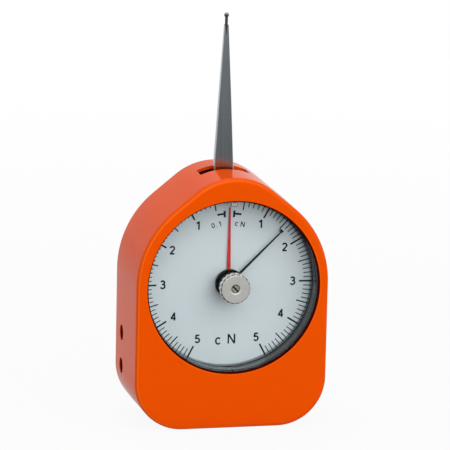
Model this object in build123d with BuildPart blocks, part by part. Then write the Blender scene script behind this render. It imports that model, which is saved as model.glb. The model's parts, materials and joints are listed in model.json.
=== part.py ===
"""Dial force gauge with a swinging feeler arm: case, window, hands, movement and lever.

Frame: origin at the middle of the flat underside, +X to the right of the dial, +Z up, and the
dial faces -Y. Lengths are in millimetres. Most pieces are drawn on planes parallel to the dial,
placed by their depth behind the front face of the case.
"""

from build123d import *
from math import acos, asin, cos, degrees, pi, radians, sin, tan
import os

os.makedirs("parts", exist_ok=True)

# ---- case ----------------------------------------------------------------------------------------
case_width = 60.0
case_depth = 30.5
dial_height = 44.3  # dial axis above the underside
wall = 3.0
front_wall = 3.0
edge_round = 1.5
corner_radius = 15.2  # the two lower corners
crown_narrowing = 10.85  # how much smaller the crown's arc is than the shoulders'
shoulder_rise = 0.7  # shoulder arc centre above the dial axis
crown_rise = 14.7  # crown arc centre above the dial axis

# ---- back cover ----------------------------------------------------------------------------------
cover_thickness = 2.0
cover_recess = 0.1
cover_gap = 0.15
cover_screw_radius = 1.25
cover_head_radius = 2.4
cover_screw_length = 7.0
cover_slot_turn = 45.0
sink_angle = 90.0
cover_boss_radius = 3.8
lower_boss_inset = 9.0  # from the side of the case
lower_boss_height = 11.3  # above the underside
upper_boss_inset = 7.6
upper_boss_rise = 8.0
upper_boss_start = 14.5

# ---- window: split ring, cup-shaped crystal, dial ------------------------------------------------
window_margin = 3.0  # case between the window and the side
sleeve_wall = 1.5
dial_depth = 7.7  # printed face of the dial behind the front face
dial_thickness = 0.5
dial_clearance = 0.3
dial_hole_radius = 1.6
ledge_width = 6.0
ledge_thickness = 2.0
ring_setback = 0.9
ring_thickness = 0.4
ring_gap = 2.95
ring_fit = 0.02
crystal_setback = 2.2
crystal_thickness = 1.5
crystal_wall = 0.7
crystal_round = 0.6
crystal_foot = 0.8
crystal_clearance = 0.1
key_width = 2.2
key_length = 2.0
key_height = 0.7  # above the crystal's face
key_seat = 1.8  # into the crystal's shoulder
key_fit = 0.03
key_round = 0.3

# ---- side holes for a stand ----------------------------------------------------------------------
stand_hole_radius = 2.45
stand_hole_depth = 6.0
stand_hole_pitch = 10.4
stand_hole_height = 21.1  # middle of the pair above the underside
stand_hole_setback = 9.5  # from the back face
stand_pad = 1.6  # material round and behind the holes

# ---- lever and gearing ---------------------------------------------------------------------------
full_scale_turn = 152.0  # degrees of pointer travel each way
pinion_teeth = 12
sector_teeth_full = 120
sector_teeth = 13
gear_module = 0.25
pressure_angle = 25.0
dedendum = 1.25  # depth of a tooth below the pitch circle, in modules
gear_backlash = 0.05
gear_ratio = sector_teeth_full / pinion_teeth
lever_swing = full_scale_turn / gear_ratio
pivot_rise = gear_module * (sector_teeth_full + pinion_teeth) / 2

# ---- movement stack, as thicknesses and gaps going back from the dial's ledge --------------------
plate_thickness = 2.0
plate_margin = 1.6  # from the plate's rim to the window's radius
train_gap = 0.9  # plate to sector gear
sector_thickness = 1.2
web_thickness = 1.6
arm_thickness = 2.4
arm_tip_thickness = 1.3
collet_gap = 1.0
collet_height = 1.2
bridge_gap = 1.0
bridge_thickness = 2.0

# ---- feeler arm ----------------------------------------------------------------------------------
slot_half_length = 7.7
slot_front_gap = 1.5
slot_back_gap = 0.7
arm_top_rise = 77.6  # end of the flat blade above the dial axis
arm_width_at_pivot = 7.87
arm_width_at_top = 1.15
arm_bevel = 0.25
neck_radius = 0.45
ball_radius = 0.75
neck_length = 2.9  # from the end of the blade to the middle of the ball
eye_radius = 5.0
neck_root = 1.0  # of the neck inside the blade

# ---- turned parts of the train -------------------------------------------------------------------
arbor_radius = 1.5
pivot_radius = 0.5
running_fit = 0.04
end_shake = 0.3
bush_radius = 1.7
pinion_staff_radius = 0.8
pointer_staff_radius = 0.5
jewel_radius = 1.2
sector_hub_radius = 4.5
sector_rim = 2.0
sector_hub_margin = 1.5
weight_inner_radius = 7.0
weight_web_overlap = 0.5
weight_outer_radius = 11.5
weight_half_angle = 50.0
weight_height = 4.5
pillar_radius = 2.0
pillar_stub_radius = 1.2
upper_pillar_edge = 2.95  # from the plate's rim to a pillar's axis
upper_pillar_turn = 57.7  # degrees above the horizontal
lower_pillar_drop = 12.0
bridge_margin = 2.0
stop_radius = 0.8
stop_reach = 10.0
stop_play = 0.5  # degrees past full scale

# ---- screws --------------------------------------------------------------------------------------
screw_radius = 0.9
screw_head_radius = 1.9
screw_head_height = 1.1
screw_slot = 0.5
screw_slot_turn = 30.0
screw_length = 5.0
plate_screw_edge = 1.9  # from the plate's rim to a screw's axis
plate_screw_turns = (45, 135, 225, 315)
plate_screw_length = 3.7
arm_screw_radius = 0.6
arm_screw_head_radius = 1.1
arm_screw_head_height = 0.6
arm_screw_spread = 3.2

# ---- hairsprings ---------------------------------------------------------------------------------
spring_blade = 0.3
spring_height = 1.0
spring_inner_radius = 2.4
spring_outer_radius = 8.0
spring_turns = 4
spring_seat_gap = 0.05
spring_end_turn = -30.0
stud_radius = 0.8
backlash_blade = 0.15
backlash_height = 0.6
backlash_inner_radius = 1.3
backlash_outer_radius = 4.2
backlash_turns = 3
backlash_end_turn = -90.0

# ---- hands and reset knob ------------------------------------------------------------------------
pointer_gap = 0.45  # back of the main pointer to the dial
pointer_thickness = 0.3
pointer_short = 3.8  # from the pointer's tip to the window's radius
pointer_root_width = 1.3
pointer_tip_width = 0.45
pointer_hub_radius = 1.3
pointer_hub_front = 0.35
pointer_hub_back = 0.75
drag_rest_angle = 45.5  # clockwise from twelve o'clock
drag_gap = 1.3  # back of the drag pointer to the front of the main pointer
drag_thickness = 0.2
drag_short = 4.2  # from the drag pointer's tip to the window's radius
drag_root_width = 0.9
drag_tip_width = 0.4
drag_tab_clearance = 0.25
drag_hub_radius = 4.4
drag_hub_front = 0.4
drag_hub_back = 0.4
knob_radius = 4.65
knob_front = 2.7  # stands out of the front face
knob_thickness = 2.8
knob_edge = 0.4
knob_flutes = 18
flute_radius = 0.55
flute_depth = 0.22
recess_radius = 1.3
recess_depth = 0.8
recess_chamfer = 0.35
spindle_radius = 1.0
knob_screw_radius = 0.5
knob_screw_head_radius = 1.1
knob_screw_head_height = 0.6
knob_screw_length = 1.2
knob_slot_turn = -45.0
knob_floor = 0.6
washer_thickness = 0.2
washer_radius = 3.2
washer_gap = 0.02
bushing_radius = 4.3
bushing_shank_radius = 2.5
bushing_overhang = 0.05

# ---- radii and places that follow the case -------------------------------------------------------
top_radius = case_width / 2 - crown_narrowing
window_radius = case_width / 2 - window_margin
ledge_radius = window_radius - ledge_width
plate_radius = window_radius - plate_margin
plate_screw_circle = plate_radius - plate_screw_edge
pillar_circle = plate_radius - upper_pillar_edge
upper_pillar_x = pillar_circle * cos(radians(upper_pillar_turn))
upper_pillar_rise = pillar_circle * sin(radians(upper_pillar_turn))
lower_boss_x = case_width / 2 - lower_boss_inset
lower_boss_drop = dial_height - lower_boss_height
upper_boss_x = case_width / 2 - upper_boss_inset
pointer_reach = window_radius - pointer_short
drag_reach = window_radius - drag_short
ball_rise = arm_top_rise + neck_length

# ---- depths worked out from the stack ------------------------------------------------------------
dial_back = dial_depth + dial_thickness
plate_front = dial_back + ledge_thickness
plate_back = plate_front + plate_thickness
sector_front = plate_back + train_gap
web_front = sector_front + sector_thickness
arm_front = web_front + web_thickness
arm_back = arm_front + arm_thickness
collet_front = arm_back + collet_gap
collet_back = collet_front + collet_height
bridge_front = collet_back + bridge_gap
bridge_back = bridge_front + bridge_thickness
slot_front = arm_front - slot_front_gap
slot_back = arm_back + slot_back_gap
cover_back = case_depth - cover_recess
cover_front = cover_back - cover_thickness
crystal_back = crystal_setback + crystal_thickness
crystal_radius = window_radius - ring_thickness - crystal_clearance
ring_back = dial_depth - crystal_foot
pointer_back = dial_depth - pointer_gap
pointer_front = pointer_back - pointer_thickness
drag_back = pointer_front - drag_gap
drag_front = drag_back - drag_thickness
knob_back = knob_thickness - knob_front
bushing_front = knob_back + washer_thickness + 2 * washer_gap
staff_front = pointer_front - pointer_hub_front

front_y = -case_depth / 2
dial_axis = Axis((0, 0, dial_height), (0, 1, 0))
pivot_height = dial_height + pivot_rise
pivot_axis = Axis((0, 0, pivot_height), (0, 1, 0))
lower_bosses = [(side * lower_boss_x, -lower_boss_drop) for side in (-1, 1)]
upper_bosses = [(side * upper_boss_x, upper_boss_rise) for side in (-1, 1)]
plate_screws_at = [
    (plate_screw_circle * cos(radians(turn)), plate_screw_circle * sin(radians(turn)))
    for turn in plate_screw_turns
]
pillars_at = [
    (-upper_pillar_x, upper_pillar_rise),
    (upper_pillar_x, upper_pillar_rise),
    (0, -lower_pillar_drop),
]


def dial_plane(depth, rise=0.0, turn=0.0):
    """Plane parallel to the dial at a depth behind the front face, turned clockwise by degrees."""
    across = (cos(radians(turn)), 0, -sin(radians(turn)))
    return Plane((0, front_y + depth, dial_height + rise), x_dir=across, z_dir=(0, -1, 0))


def section_plane(rise=0.0):
    """Upright plane through the dial axis: local x is depth, local y is radius."""
    return Plane((0, front_y, dial_height + rise), x_dir=(0, 1, 0), z_dir=(1, 0, 0))


def case_outline(depth, inset=0.0):
    """Outline of the case seen from the front, drawn in by a wall or a gap."""
    half = case_width / 2
    flank = degrees(asin((half - top_radius) / (crown_rise - shoulder_rise)))
    bottom = -dial_height + inset
    corner = (half - corner_radius, -dial_height + corner_radius)
    with BuildSketch(dial_plane(depth)) as outline:
        with BuildLine():
            Line((0, bottom), (corner[0], bottom))
            CenterArc(corner, corner_radius - inset, -90, 90)
            Line((half - inset, corner[1]), (half - inset, shoulder_rise))
            shoulder = CenterArc((0, shoulder_rise), half - inset, 0, flank)
            crown = CenterArc((0, crown_rise), top_radius - inset, flank, 90 - flank)
            Line(shoulder @ 1, crown @ 0)
            mirror(about=Plane.YZ)
        make_face()
    return outline.sketch


def disc(depth, radius, centres=((0, 0),), hole=0.0, rise=0.0):
    """Round blanks, with an optional hole each, on a plane parallel to the dial."""
    with BuildSketch(dial_plane(depth, rise)) as blank:
        with Locations(*centres):
            Circle(radius)
            if hole:
                Circle(hole, mode=Mode.SUBTRACT)
    return blank.sketch


def half_section(*stations, rise=0.0):
    """Half section of a turned piece, as (depth, radius) stations round a closed outline."""
    with BuildSketch(section_plane(rise)) as section:
        with BuildLine():
            Polyline(*stations, close=True)
        make_face()
    return section.sketch


def slot_bars(depth, centres, length, width, turn=0.0, rise=0.0):
    """Screwdriver slots, one across each screw head."""
    with BuildSketch(dial_plane(depth, rise)) as bars:
        with Locations(*centres):
            Rectangle(length, width, rotation=turn)
    return bars.sketch


def involute(angle):
    return tan(angle) - angle


def tooth_outline(teeth, turn):
    """One involute tooth pointing along an angle, rooted a little inside its root circle."""
    pitch_radius = gear_module * teeth / 2
    base_radius = pitch_radius * cos(radians(pressure_angle))
    root_radius = pitch_radius - dedendum * gear_module
    tip_radius = pitch_radius + gear_module
    thickness = pi * gear_module / 2 - gear_backlash / 2
    flank_start = max(base_radius, root_radius)
    at_pitch = thickness / (2 * pitch_radius) + involute(radians(pressure_angle))
    flank = []
    for step in range(4):
        radius = flank_start + (tip_radius - flank_start) * step / 3
        flank.append((radius, at_pitch - involute(acos(base_radius / radius))))
    flank.insert(0, (root_radius - gear_module, flank[0][1]))
    left = [(r, radians(turn) + half) for r, half in flank]
    right = [(r, radians(turn) - half) for r, half in reversed(flank)]
    return [(r * cos(a), r * sin(a)) for r, a in left + right]


def spiral_band(depth, inner_radius, outer_radius, turns, blade, end_angle, rise=0.0):
    """Flat spiral strip between two radii, its outer end at a given angle."""
    steps = 12 * turns
    span = 2 * pi * turns

    def rail(side):
        points = []
        for step in range(steps + 1):
            radius = inner_radius + (outer_radius - inner_radius) * step / steps + side * blade / 2
            angle = radians(end_angle) - span + span * step / steps
            points.append((radius * cos(angle), radius * sin(angle)))
        return points

    with BuildSketch(dial_plane(depth, rise)) as band:
        with BuildLine():
            inside = Spline(*rail(-1))
            outside = Spline(*rail(1))
            Line(inside @ 0, outside @ 0)
            Line(inside @ 1, outside @ 1)
        make_face()
    return band.sketch


def save(piece, label):
    piece.part.label = label
    export_step(piece.part, f"parts/{label}.step")


# ---- housing: one cast shell, open at the back, with window sleeve, bosses and arm slot ----------
with BuildPart() as housing:
    extrude(case_outline(case_depth), amount=case_depth)
    fillet(housing.faces().filter_by(Axis.Y).edges(), radius=edge_round)
    extrude(case_outline(case_depth, wall), amount=case_depth - front_wall, mode=Mode.SUBTRACT)
    sleeve = disc(plate_front, window_radius + sleeve_wall)
    extrude(sleeve, amount=plate_front - front_wall / 2)
    extrude(disc(dial_back, window_radius), amount=dial_back, mode=Mode.SUBTRACT)
    extrude(disc(plate_front, ledge_radius), amount=ledge_thickness, mode=Mode.SUBTRACT)
    extrude(disc(cover_front, cover_boss_radius, lower_bosses), amount=cover_front - front_wall / 2)
    extrude(disc(cover_front, cover_boss_radius, upper_bosses), amount=cover_front - upper_boss_start)
    pad_height = stand_hole_pitch + 2 * (stand_hole_radius + stand_pad)
    pad_thickness = stand_hole_depth + stand_pad - wall / 2
    with Locations((-case_width / 2 + wall / 2 + pad_thickness / 2,
                    case_depth / 2 - stand_hole_setback, stand_hole_height)):
        Box(pad_thickness, 2 * (stand_hole_radius + stand_pad), pad_height)
    stand_face = Plane((-case_width / 2, case_depth / 2 - stand_hole_setback,
                        stand_hole_height), x_dir=(0, 0, 1), z_dir=(-1, 0, 0))
    with BuildSketch(stand_face.offset(-stand_hole_depth)):
        with GridLocations(stand_hole_pitch, 0, 2, 1):
            Circle(stand_hole_radius)
    extrude(amount=stand_hole_depth + wall, mode=Mode.SUBTRACT)
    with BuildSketch(dial_plane(slot_back)):
        with Locations((0, crown_rise + top_radius)):
            Rectangle(2 * slot_half_length, 4 * wall)
    extrude(amount=slot_back - slot_front, mode=Mode.SUBTRACT)
    cover_holes = disc(cover_front, cover_screw_radius, lower_bosses + upper_bosses)
    extrude(cover_holes, amount=cover_screw_length - cover_thickness + end_shake, mode=Mode.SUBTRACT)
    plate_holes = disc(plate_front, screw_radius, plate_screws_at)
    extrude(plate_holes, amount=plate_screw_length - plate_thickness + end_shake / 2, mode=Mode.SUBTRACT)
save(housing, "housing")

# ---- back cover let into the open back, on four countersunk screws -------------------------------
with BuildPart() as back_cover:
    extrude(case_outline(cover_back, wall + cover_gap), amount=cover_thickness)
    rear_face = Plane((0, front_y + cover_back, dial_height), x_dir=(1, 0, 0), z_dir=(0, 1, 0))
    with Locations(rear_face):
        with Locations(*[(x, -rise) for x, rise in lower_bosses + upper_bosses]):
            CounterSinkHole(cover_screw_radius, cover_head_radius, counter_sink_angle=sink_angle)
save(back_cover, "back_cover")

with BuildPart() as cover_screws:
    for boss_x, boss_rise in lower_bosses + upper_bosses:
        cone = cover_head_radius - cover_screw_radius
        with BuildSketch(Plane((boss_x, front_y, dial_height + boss_rise), x_dir=(0, 1, 0),
                               z_dir=(1, 0, 0))) as screw_section:
            with BuildLine():
                Polyline((cover_back, 0), (cover_back, cover_head_radius),
                         (cover_back - cone, cover_screw_radius),
                         (cover_back - cover_screw_length, cover_screw_radius),
                         (cover_back - cover_screw_length, 0), close=True)
            make_face()
        revolve(axis=Axis((boss_x, 0, dial_height + boss_rise), (0, 1, 0)))
    cross = slot_bars(
        cover_back, lower_bosses + upper_bosses, 2 * cover_head_radius, screw_slot, cover_slot_turn
    )
    extrude(cross, amount=screw_slot, mode=Mode.SUBTRACT)
save(cover_screws, "cover_screws")

# ---- window --------------------------------------------------------------------------------------
with BuildPart() as dial_plate:
    extrude(disc(dial_back, window_radius - dial_clearance, hole=dial_hole_radius), amount=dial_thickness)
save(dial_plate, "dial_plate")

with BuildPart() as crystal:
    cup = half_section(
        (crystal_setback, bushing_shank_radius),
        (crystal_setback, crystal_radius),
        (ring_back, crystal_radius),
        (ring_back, window_radius - crystal_clearance),
        (dial_depth, window_radius - crystal_clearance),
        (dial_depth, crystal_radius - crystal_wall),
        (crystal_back, crystal_radius - crystal_wall),
        (crystal_back, bushing_shank_radius),
    )
    revolve(cup, axis=dial_axis)
    shoulder_edge = crystal.edges().filter_by(GeomType.CIRCLE).group_by(Axis.Y)[0].sort_by(SortBy.RADIUS)[-1]
    fillet(shoulder_edge, radius=crystal_round)
    with BuildSketch(dial_plane(crystal_setback + key_seat)):
        with Locations((0, crystal_radius - key_length / 2)):
            Rectangle(key_width, key_length)
    extrude(amount=key_seat + key_height, mode=Mode.SUBTRACT)
save(crystal, "crystal")

with BuildPart() as crystal_ring:
    band = disc(ring_back, window_radius - ring_fit, hole=window_radius - ring_thickness)
    extrude(band, amount=ring_back - ring_setback)
    with BuildSketch(dial_plane(ring_back)):
        with Locations((0, -window_radius)):
            Rectangle(ring_gap, 4 * ring_thickness)
    extrude(amount=ring_back - ring_setback, mode=Mode.SUBTRACT)
save(crystal_ring, "crystal_ring")

with BuildPart() as crystal_key:
    with BuildSketch(dial_plane(crystal_setback + key_seat)):
        with Locations((0, crystal_radius - key_length / 2)):
            Rectangle(key_width - 2 * key_fit, key_length - 2 * key_fit)
    extrude(amount=key_seat + key_height)
    fillet(crystal_key.edges().filter_by(Axis.Y).group_by(Axis.Z)[0], radius=key_round)
save(crystal_key, "crystal_key")

# ---- movement frame: plate, pillars, bridge, bearings --------------------------------------------
with BuildPart() as movement_plate:
    extrude(disc(plate_back, plate_radius), amount=plate_thickness)
    through = plate_thickness
    extrude(disc(plate_back, jewel_radius), amount=through, mode=Mode.SUBTRACT)
    extrude(disc(plate_back, bush_radius, rise=pivot_rise), amount=through, mode=Mode.SUBTRACT)
    extrude(disc(plate_back, screw_radius, plate_screws_at), amount=through, mode=Mode.SUBTRACT)
    extrude(disc(plate_back, pillar_stub_radius, pillars_at), amount=through, mode=Mode.SUBTRACT)
save(movement_plate, "movement_plate")


def slotted_screws(centres, seat, length, shank, head, height):
    """Cheese-head screws driven from the back: heads on a seat, shanks towards the dial."""
    with BuildPart() as screws:
        extrude(disc(seat, shank, centres), amount=length)
        extrude(disc(seat + height, head, centres), amount=height)
        slots = slot_bars(seat + height, centres, 2 * head, screw_slot, screw_slot_turn)
        extrude(slots, amount=height / 2, mode=Mode.SUBTRACT)
    return screws


plate_screws = slotted_screws(
    plate_screws_at, plate_back, plate_screw_length, screw_radius, screw_head_radius, screw_head_height
)
save(plate_screws, "plate_screws")

with BuildPart() as bridge_pillars:
    extrude(disc(bridge_front, pillar_radius, pillars_at), amount=bridge_front - plate_back)
    extrude(disc(plate_back, pillar_stub_radius, pillars_at), amount=plate_thickness)
    tapped = screw_length - bridge_thickness + end_shake
    extrude(disc(bridge_front, screw_radius, pillars_at), amount=tapped, mode=Mode.SUBTRACT)
save(bridge_pillars, "bridge_pillars")

with BuildPart() as bridge:
    with BuildSketch(dial_plane(bridge_back)):
        with Locations(*pillars_at):
            Circle(pillar_radius + bridge_margin)
        make_hull()
        with Locations((0, 0)):
            Circle(jewel_radius, mode=Mode.SUBTRACT)
        with Locations((0, pivot_rise)):
            Circle(bush_radius, mode=Mode.SUBTRACT)
        with Locations(*pillars_at):
            Circle(screw_radius, mode=Mode.SUBTRACT)
    extrude(amount=bridge_thickness)
save(bridge, "bridge")

bridge_screws = slotted_screws(
    pillars_at, bridge_back, screw_length, screw_radius, screw_head_radius, screw_head_height
)
save(bridge_screws, "bridge_screws")

with BuildPart() as lever_bearings:
    for bush_back in (plate_back, bridge_back):
        bush = disc(bush_back, bush_radius, hole=pivot_radius + running_fit, rise=pivot_rise)
        extrude(bush, amount=plate_thickness)
save(lever_bearings, "lever_bearings")

with BuildPart() as pinion_bearings:
    for jewel_back in (plate_back, bridge_back):
        jewel = disc(jewel_back, jewel_radius, hole=pointer_staff_radius + running_fit)
        extrude(jewel, amount=plate_thickness)
save(pinion_bearings, "pinion_bearings")

# ---- lever: arbor, sector gear, balance weight, feeler arm ---------------------------------------
with BuildPart() as lever_arbor:
    shaft = half_section(
        (plate_front + end_shake, 0),
        (plate_front + end_shake, pivot_radius),
        (plate_back + end_shake, pivot_radius),
        (plate_back + end_shake, arbor_radius),
        (bridge_front - end_shake, arbor_radius),
        (bridge_front - end_shake, pivot_radius),
        (bridge_back - end_shake, pivot_radius),
        (bridge_back - end_shake, 0),
        rise=pivot_rise,
    )
    revolve(shaft, axis=pivot_axis)
save(lever_arbor, "lever_arbor")

sector_pitch = 360 / sector_teeth_full
sector_half_angle = sector_pitch * sector_teeth / 2
sector_pitch_radius = gear_module * sector_teeth_full / 2
sector_root = sector_pitch_radius - dedendum * gear_module


def pie(depth, radius, half_angle, inner=0.0, middle=-90.0, rise=0.0):
    """Slice of a disc or ring, centred on an angle."""
    with BuildSketch(dial_plane(depth, rise)) as slice_face:
        with BuildLine():
            outer = CenterArc((0, 0), radius, middle - half_angle, 2 * half_angle)
            if inner:
                near = CenterArc((0, 0), inner, middle - half_angle, 2 * half_angle)
                Line(near @ 0, outer @ 0)
                Line(near @ 1, outer @ 1)
            else:
                Line((0, 0), outer @ 0)
                Line((0, 0), outer @ 1)
        make_face()
    return slice_face.sketch


with BuildPart() as sector_gear:
    extrude(disc(web_front, sector_hub_radius, rise=pivot_rise), amount=sector_thickness)
    extrude(pie(web_front, sector_root, sector_half_angle, rise=pivot_rise), amount=sector_thickness)
    window = pie(web_front, sector_root - sector_rim, sector_half_angle / 2,
                 sector_hub_radius + sector_hub_margin, rise=pivot_rise)
    extrude(window, amount=sector_thickness, mode=Mode.SUBTRACT)
    with BuildSketch(dial_plane(web_front, pivot_rise)):
        for tooth in range(sector_teeth):
            turn = -90 + sector_pitch * (tooth - (sector_teeth - 1) / 2)
            with BuildLine():
                Polyline(*tooth_outline(sector_teeth_full, turn), close=True)
            make_face()
    extrude(amount=sector_thickness)
    bore = disc(web_front, arbor_radius, rise=pivot_rise)
    extrude(bore, amount=sector_thickness, mode=Mode.SUBTRACT)
    screw_spots = [(-arm_screw_spread, 0), (arm_screw_spread, 0)]
    extrude(disc(web_front, arm_screw_radius, screw_spots, rise=pivot_rise), amount=sector_thickness,
            mode=Mode.SUBTRACT)
save(sector_gear, "sector_gear")

with BuildPart() as balance_weight:
    extrude(disc(arm_front, eye_radius, rise=pivot_rise), amount=web_thickness)
    web = pie(arm_front, weight_inner_radius + weight_web_overlap, weight_half_angle / 2,
              rise=pivot_rise)
    extrude(web, amount=web_thickness)
    crescent = pie(web_front + weight_height, weight_outer_radius, weight_half_angle,
                   weight_inner_radius, rise=pivot_rise)
    extrude(crescent, amount=weight_height)
    extrude(disc(arm_front, arbor_radius, rise=pivot_rise), amount=web_thickness, mode=Mode.SUBTRACT)
    extrude(disc(arm_front, arm_screw_radius, screw_spots, rise=pivot_rise), amount=web_thickness,
            mode=Mode.SUBTRACT)
save(balance_weight, "balance_weight")

with BuildPart() as feeler_arm:
    blade_length = arm_top_rise - pivot_rise
    with BuildSketch(dial_plane(arm_back, pivot_rise)):
        with BuildLine():
            Polyline((-arm_width_at_pivot / 2, 0), (arm_width_at_pivot / 2, 0),
                     (arm_width_at_top / 2, blade_length), (-arm_width_at_top / 2, blade_length),
                     close=True)
        make_face()
    extrude(amount=arm_thickness)
    long_edges = feeler_arm.edges().filter_by(lambda edge: edge.length > blade_length / 2)
    chamfer(long_edges, arm_bevel)
    with BuildSketch(section_plane(pivot_rise)):
        thinning = (arm_thickness - arm_tip_thickness) / 2
        with BuildLine():
            Polyline((arm_front, 0), (arm_front, blade_length / 3),
                     (arm_front + thinning, blade_length), (arm_back - thinning, blade_length),
                     (arm_back, blade_length / 3), (arm_back, 0), close=True)
        make_face()
    extrude(amount=arm_width_at_pivot, both=True, mode=Mode.INTERSECT)
    extrude(disc(arm_back, eye_radius, rise=pivot_rise), amount=arm_thickness)
    arm_middle = (arm_front + arm_back) / 2
    with BuildSketch(Plane.XY.offset(dial_height + arm_top_rise - neck_root)):
        with Locations((0, front_y + arm_middle)):
            Circle(neck_radius)
    extrude(amount=ball_rise - ball_radius / 2 - arm_top_rise + neck_root)
    extrude(disc(arm_back, arbor_radius, rise=pivot_rise), amount=arm_thickness, mode=Mode.SUBTRACT)
    extrude(disc(arm_back, arm_screw_radius, screw_spots, rise=pivot_rise), amount=arm_thickness,
            mode=Mode.SUBTRACT)
save(feeler_arm, "feeler_arm")

with BuildPart() as feeler_ball:
    with Locations((0, front_y + arm_middle, dial_height + ball_rise)):
        Sphere(ball_radius)
    with BuildSketch(Plane.XY.offset(dial_height + ball_rise - ball_radius / 2)):
        with Locations((0, front_y + arm_middle)):
            Circle(neck_radius)
    extrude(amount=-ball_radius, mode=Mode.SUBTRACT)
save(feeler_ball, "feeler_ball")

arm_screws_at = [(x, z + pivot_rise) for x, z in screw_spots]
arm_screws = slotted_screws(
    arm_screws_at, arm_back, arm_back - sector_front, arm_screw_radius, arm_screw_head_radius,
    arm_screw_head_height
)
save(arm_screws, "arm_screws")

with BuildPart() as stop_pins:
    pin_angle = sector_half_angle + lever_swing + stop_play + degrees(asin(stop_radius / stop_reach))
    pin_spots = [
        (side * stop_reach * sin(radians(pin_angle)), -stop_reach * cos(radians(pin_angle)))
        for side in (-1, 1)
    ]
    pin_back = web_front - end_shake / 2
    extrude(disc(pin_back, stop_radius, pin_spots, rise=pivot_rise), amount=pin_back - plate_back)
save(stop_pins, "stop_pins")

# ---- hairsprings, collets and studs --------------------------------------------------------------
spring_back = collet_back - (collet_height - spring_height) / 2
with BuildPart() as measuring_spring:
    coil = spiral_band(spring_back, spring_inner_radius, spring_outer_radius, spring_turns,
                       spring_blade, spring_end_turn, pivot_rise)
    extrude(coil, amount=spring_height)
save(measuring_spring, "measuring_spring")

with BuildPart() as measuring_collet:
    collet_radius = spring_inner_radius - spring_blade / 2 - spring_seat_gap
    extrude(disc(collet_back, collet_radius, hole=arbor_radius, rise=pivot_rise), amount=collet_height)
save(measuring_collet, "measuring_collet")

with BuildPart() as measuring_stud:
    stud_reach = spring_outer_radius + spring_blade / 2 + spring_seat_gap + stud_radius
    end_turn = radians(spring_end_turn)
    stud_spot = (stud_reach * cos(end_turn), stud_reach * sin(end_turn))
    extrude(disc(bridge_front, stud_radius, (stud_spot,), rise=pivot_rise),
            amount=bridge_front - collet_front)
save(measuring_stud, "measuring_stud")

backlash_back = collet_back - (collet_height - backlash_height) / 2
with BuildPart() as backlash_spring:
    coil = spiral_band(backlash_back, backlash_inner_radius, backlash_outer_radius, backlash_turns,
                       backlash_blade, backlash_end_turn)
    extrude(coil, amount=backlash_height)
save(backlash_spring, "backlash_spring")

with BuildPart() as backlash_collet:
    collet_radius = backlash_inner_radius - backlash_blade / 2 - spring_seat_gap
    extrude(disc(collet_back, collet_radius, hole=pinion_staff_radius), amount=collet_height)
save(backlash_collet, "backlash_collet")

with BuildPart() as backlash_stud:
    stud_drop = backlash_outer_radius + backlash_blade / 2 + spring_seat_gap + stud_radius
    extrude(disc(bridge_front, stud_radius, ((0, -stud_drop),)), amount=bridge_front - collet_front)
save(backlash_stud, "backlash_stud")

# ---- pointer staff with its pinion, hub and red pointer ------------------------------------------
pinion_margin = 0.3
with BuildPart() as pinion_staff:
    staff = half_section(
        (staff_front, 0),
        (staff_front, pointer_staff_radius),
        (plate_back + end_shake, pointer_staff_radius),
        (plate_back + end_shake, pinion_staff_radius),
        (bridge_front - end_shake, pinion_staff_radius),
        (bridge_front - end_shake, pointer_staff_radius),
        (bridge_back - end_shake, pointer_staff_radius),
        (bridge_back - end_shake, 0),
    )
    revolve(staff, axis=dial_axis)
    pinion_back = web_front + pinion_margin
    pinion_width = sector_thickness + 2 * pinion_margin
    root_radius = gear_module * (pinion_teeth / 2 - dedendum)
    extrude(disc(pinion_back, root_radius), amount=pinion_width)
    with BuildSketch(dial_plane(pinion_back)):
        for tooth in range(pinion_teeth):
            turn = 90 + 360 / pinion_teeth * (tooth + 0.5)
            with BuildLine():
                Polyline(*tooth_outline(pinion_teeth, turn), close=True)
            make_face()
    extrude(amount=pinion_width)
save(pinion_staff, "pinion_staff")

with BuildPart() as pointer_hub:
    hub_back = pointer_back + pointer_hub_back
    hub_length = hub_back - staff_front
    extrude(disc(hub_back, pointer_hub_radius, hole=pointer_staff_radius), amount=hub_length)
save(pointer_hub, "pointer_hub")


def hand(depth, thickness, root_radius, reach, root_width, tip_width, turn):
    """Flat tapered hand with a round eye, pointing a number of degrees clockwise from twelve."""
    with BuildSketch(dial_plane(depth, turn=turn)) as blade:
        with BuildLine():
            Polyline((-root_width / 2, 0), (root_width / 2, 0), (tip_width / 2, reach),
                     (-tip_width / 2, reach), close=True)
        make_face()
        Circle(root_radius + root_width)
        Circle(root_radius, mode=Mode.SUBTRACT)
    return extrude(blade.sketch, amount=thickness)


with BuildPart() as main_pointer:
    hand(pointer_back, pointer_thickness, pointer_hub_radius, pointer_reach, pointer_root_width,
         pointer_tip_width, 0)
save(main_pointer, "main_pointer")

# ---- drag pointer, its spindle through the crystal and the reset knob ----------------------------
with BuildPart() as drag_pointer:
    hand(drag_back, drag_thickness, spindle_radius, drag_reach, drag_root_width, drag_tip_width,
         drag_rest_angle)
    tab_back = pointer_front - drag_tab_clearance
    with BuildSketch(dial_plane(tab_back, turn=drag_rest_angle)):
        with Locations((0, drag_reach - drag_tip_width)):
            Rectangle(drag_root_width, 2 * drag_tip_width)
    extrude(amount=tab_back - drag_front)
save(drag_pointer, "drag_pointer")

with BuildPart() as drag_hub:
    front_half = disc(drag_front, drag_hub_radius, hole=spindle_radius)
    extrude(front_half, amount=drag_hub_front)
    back_half = disc(drag_back + drag_hub_back, drag_hub_radius, hole=spindle_radius)
    extrude(back_half, amount=drag_hub_back)
save(drag_hub, "drag_hub")

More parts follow.
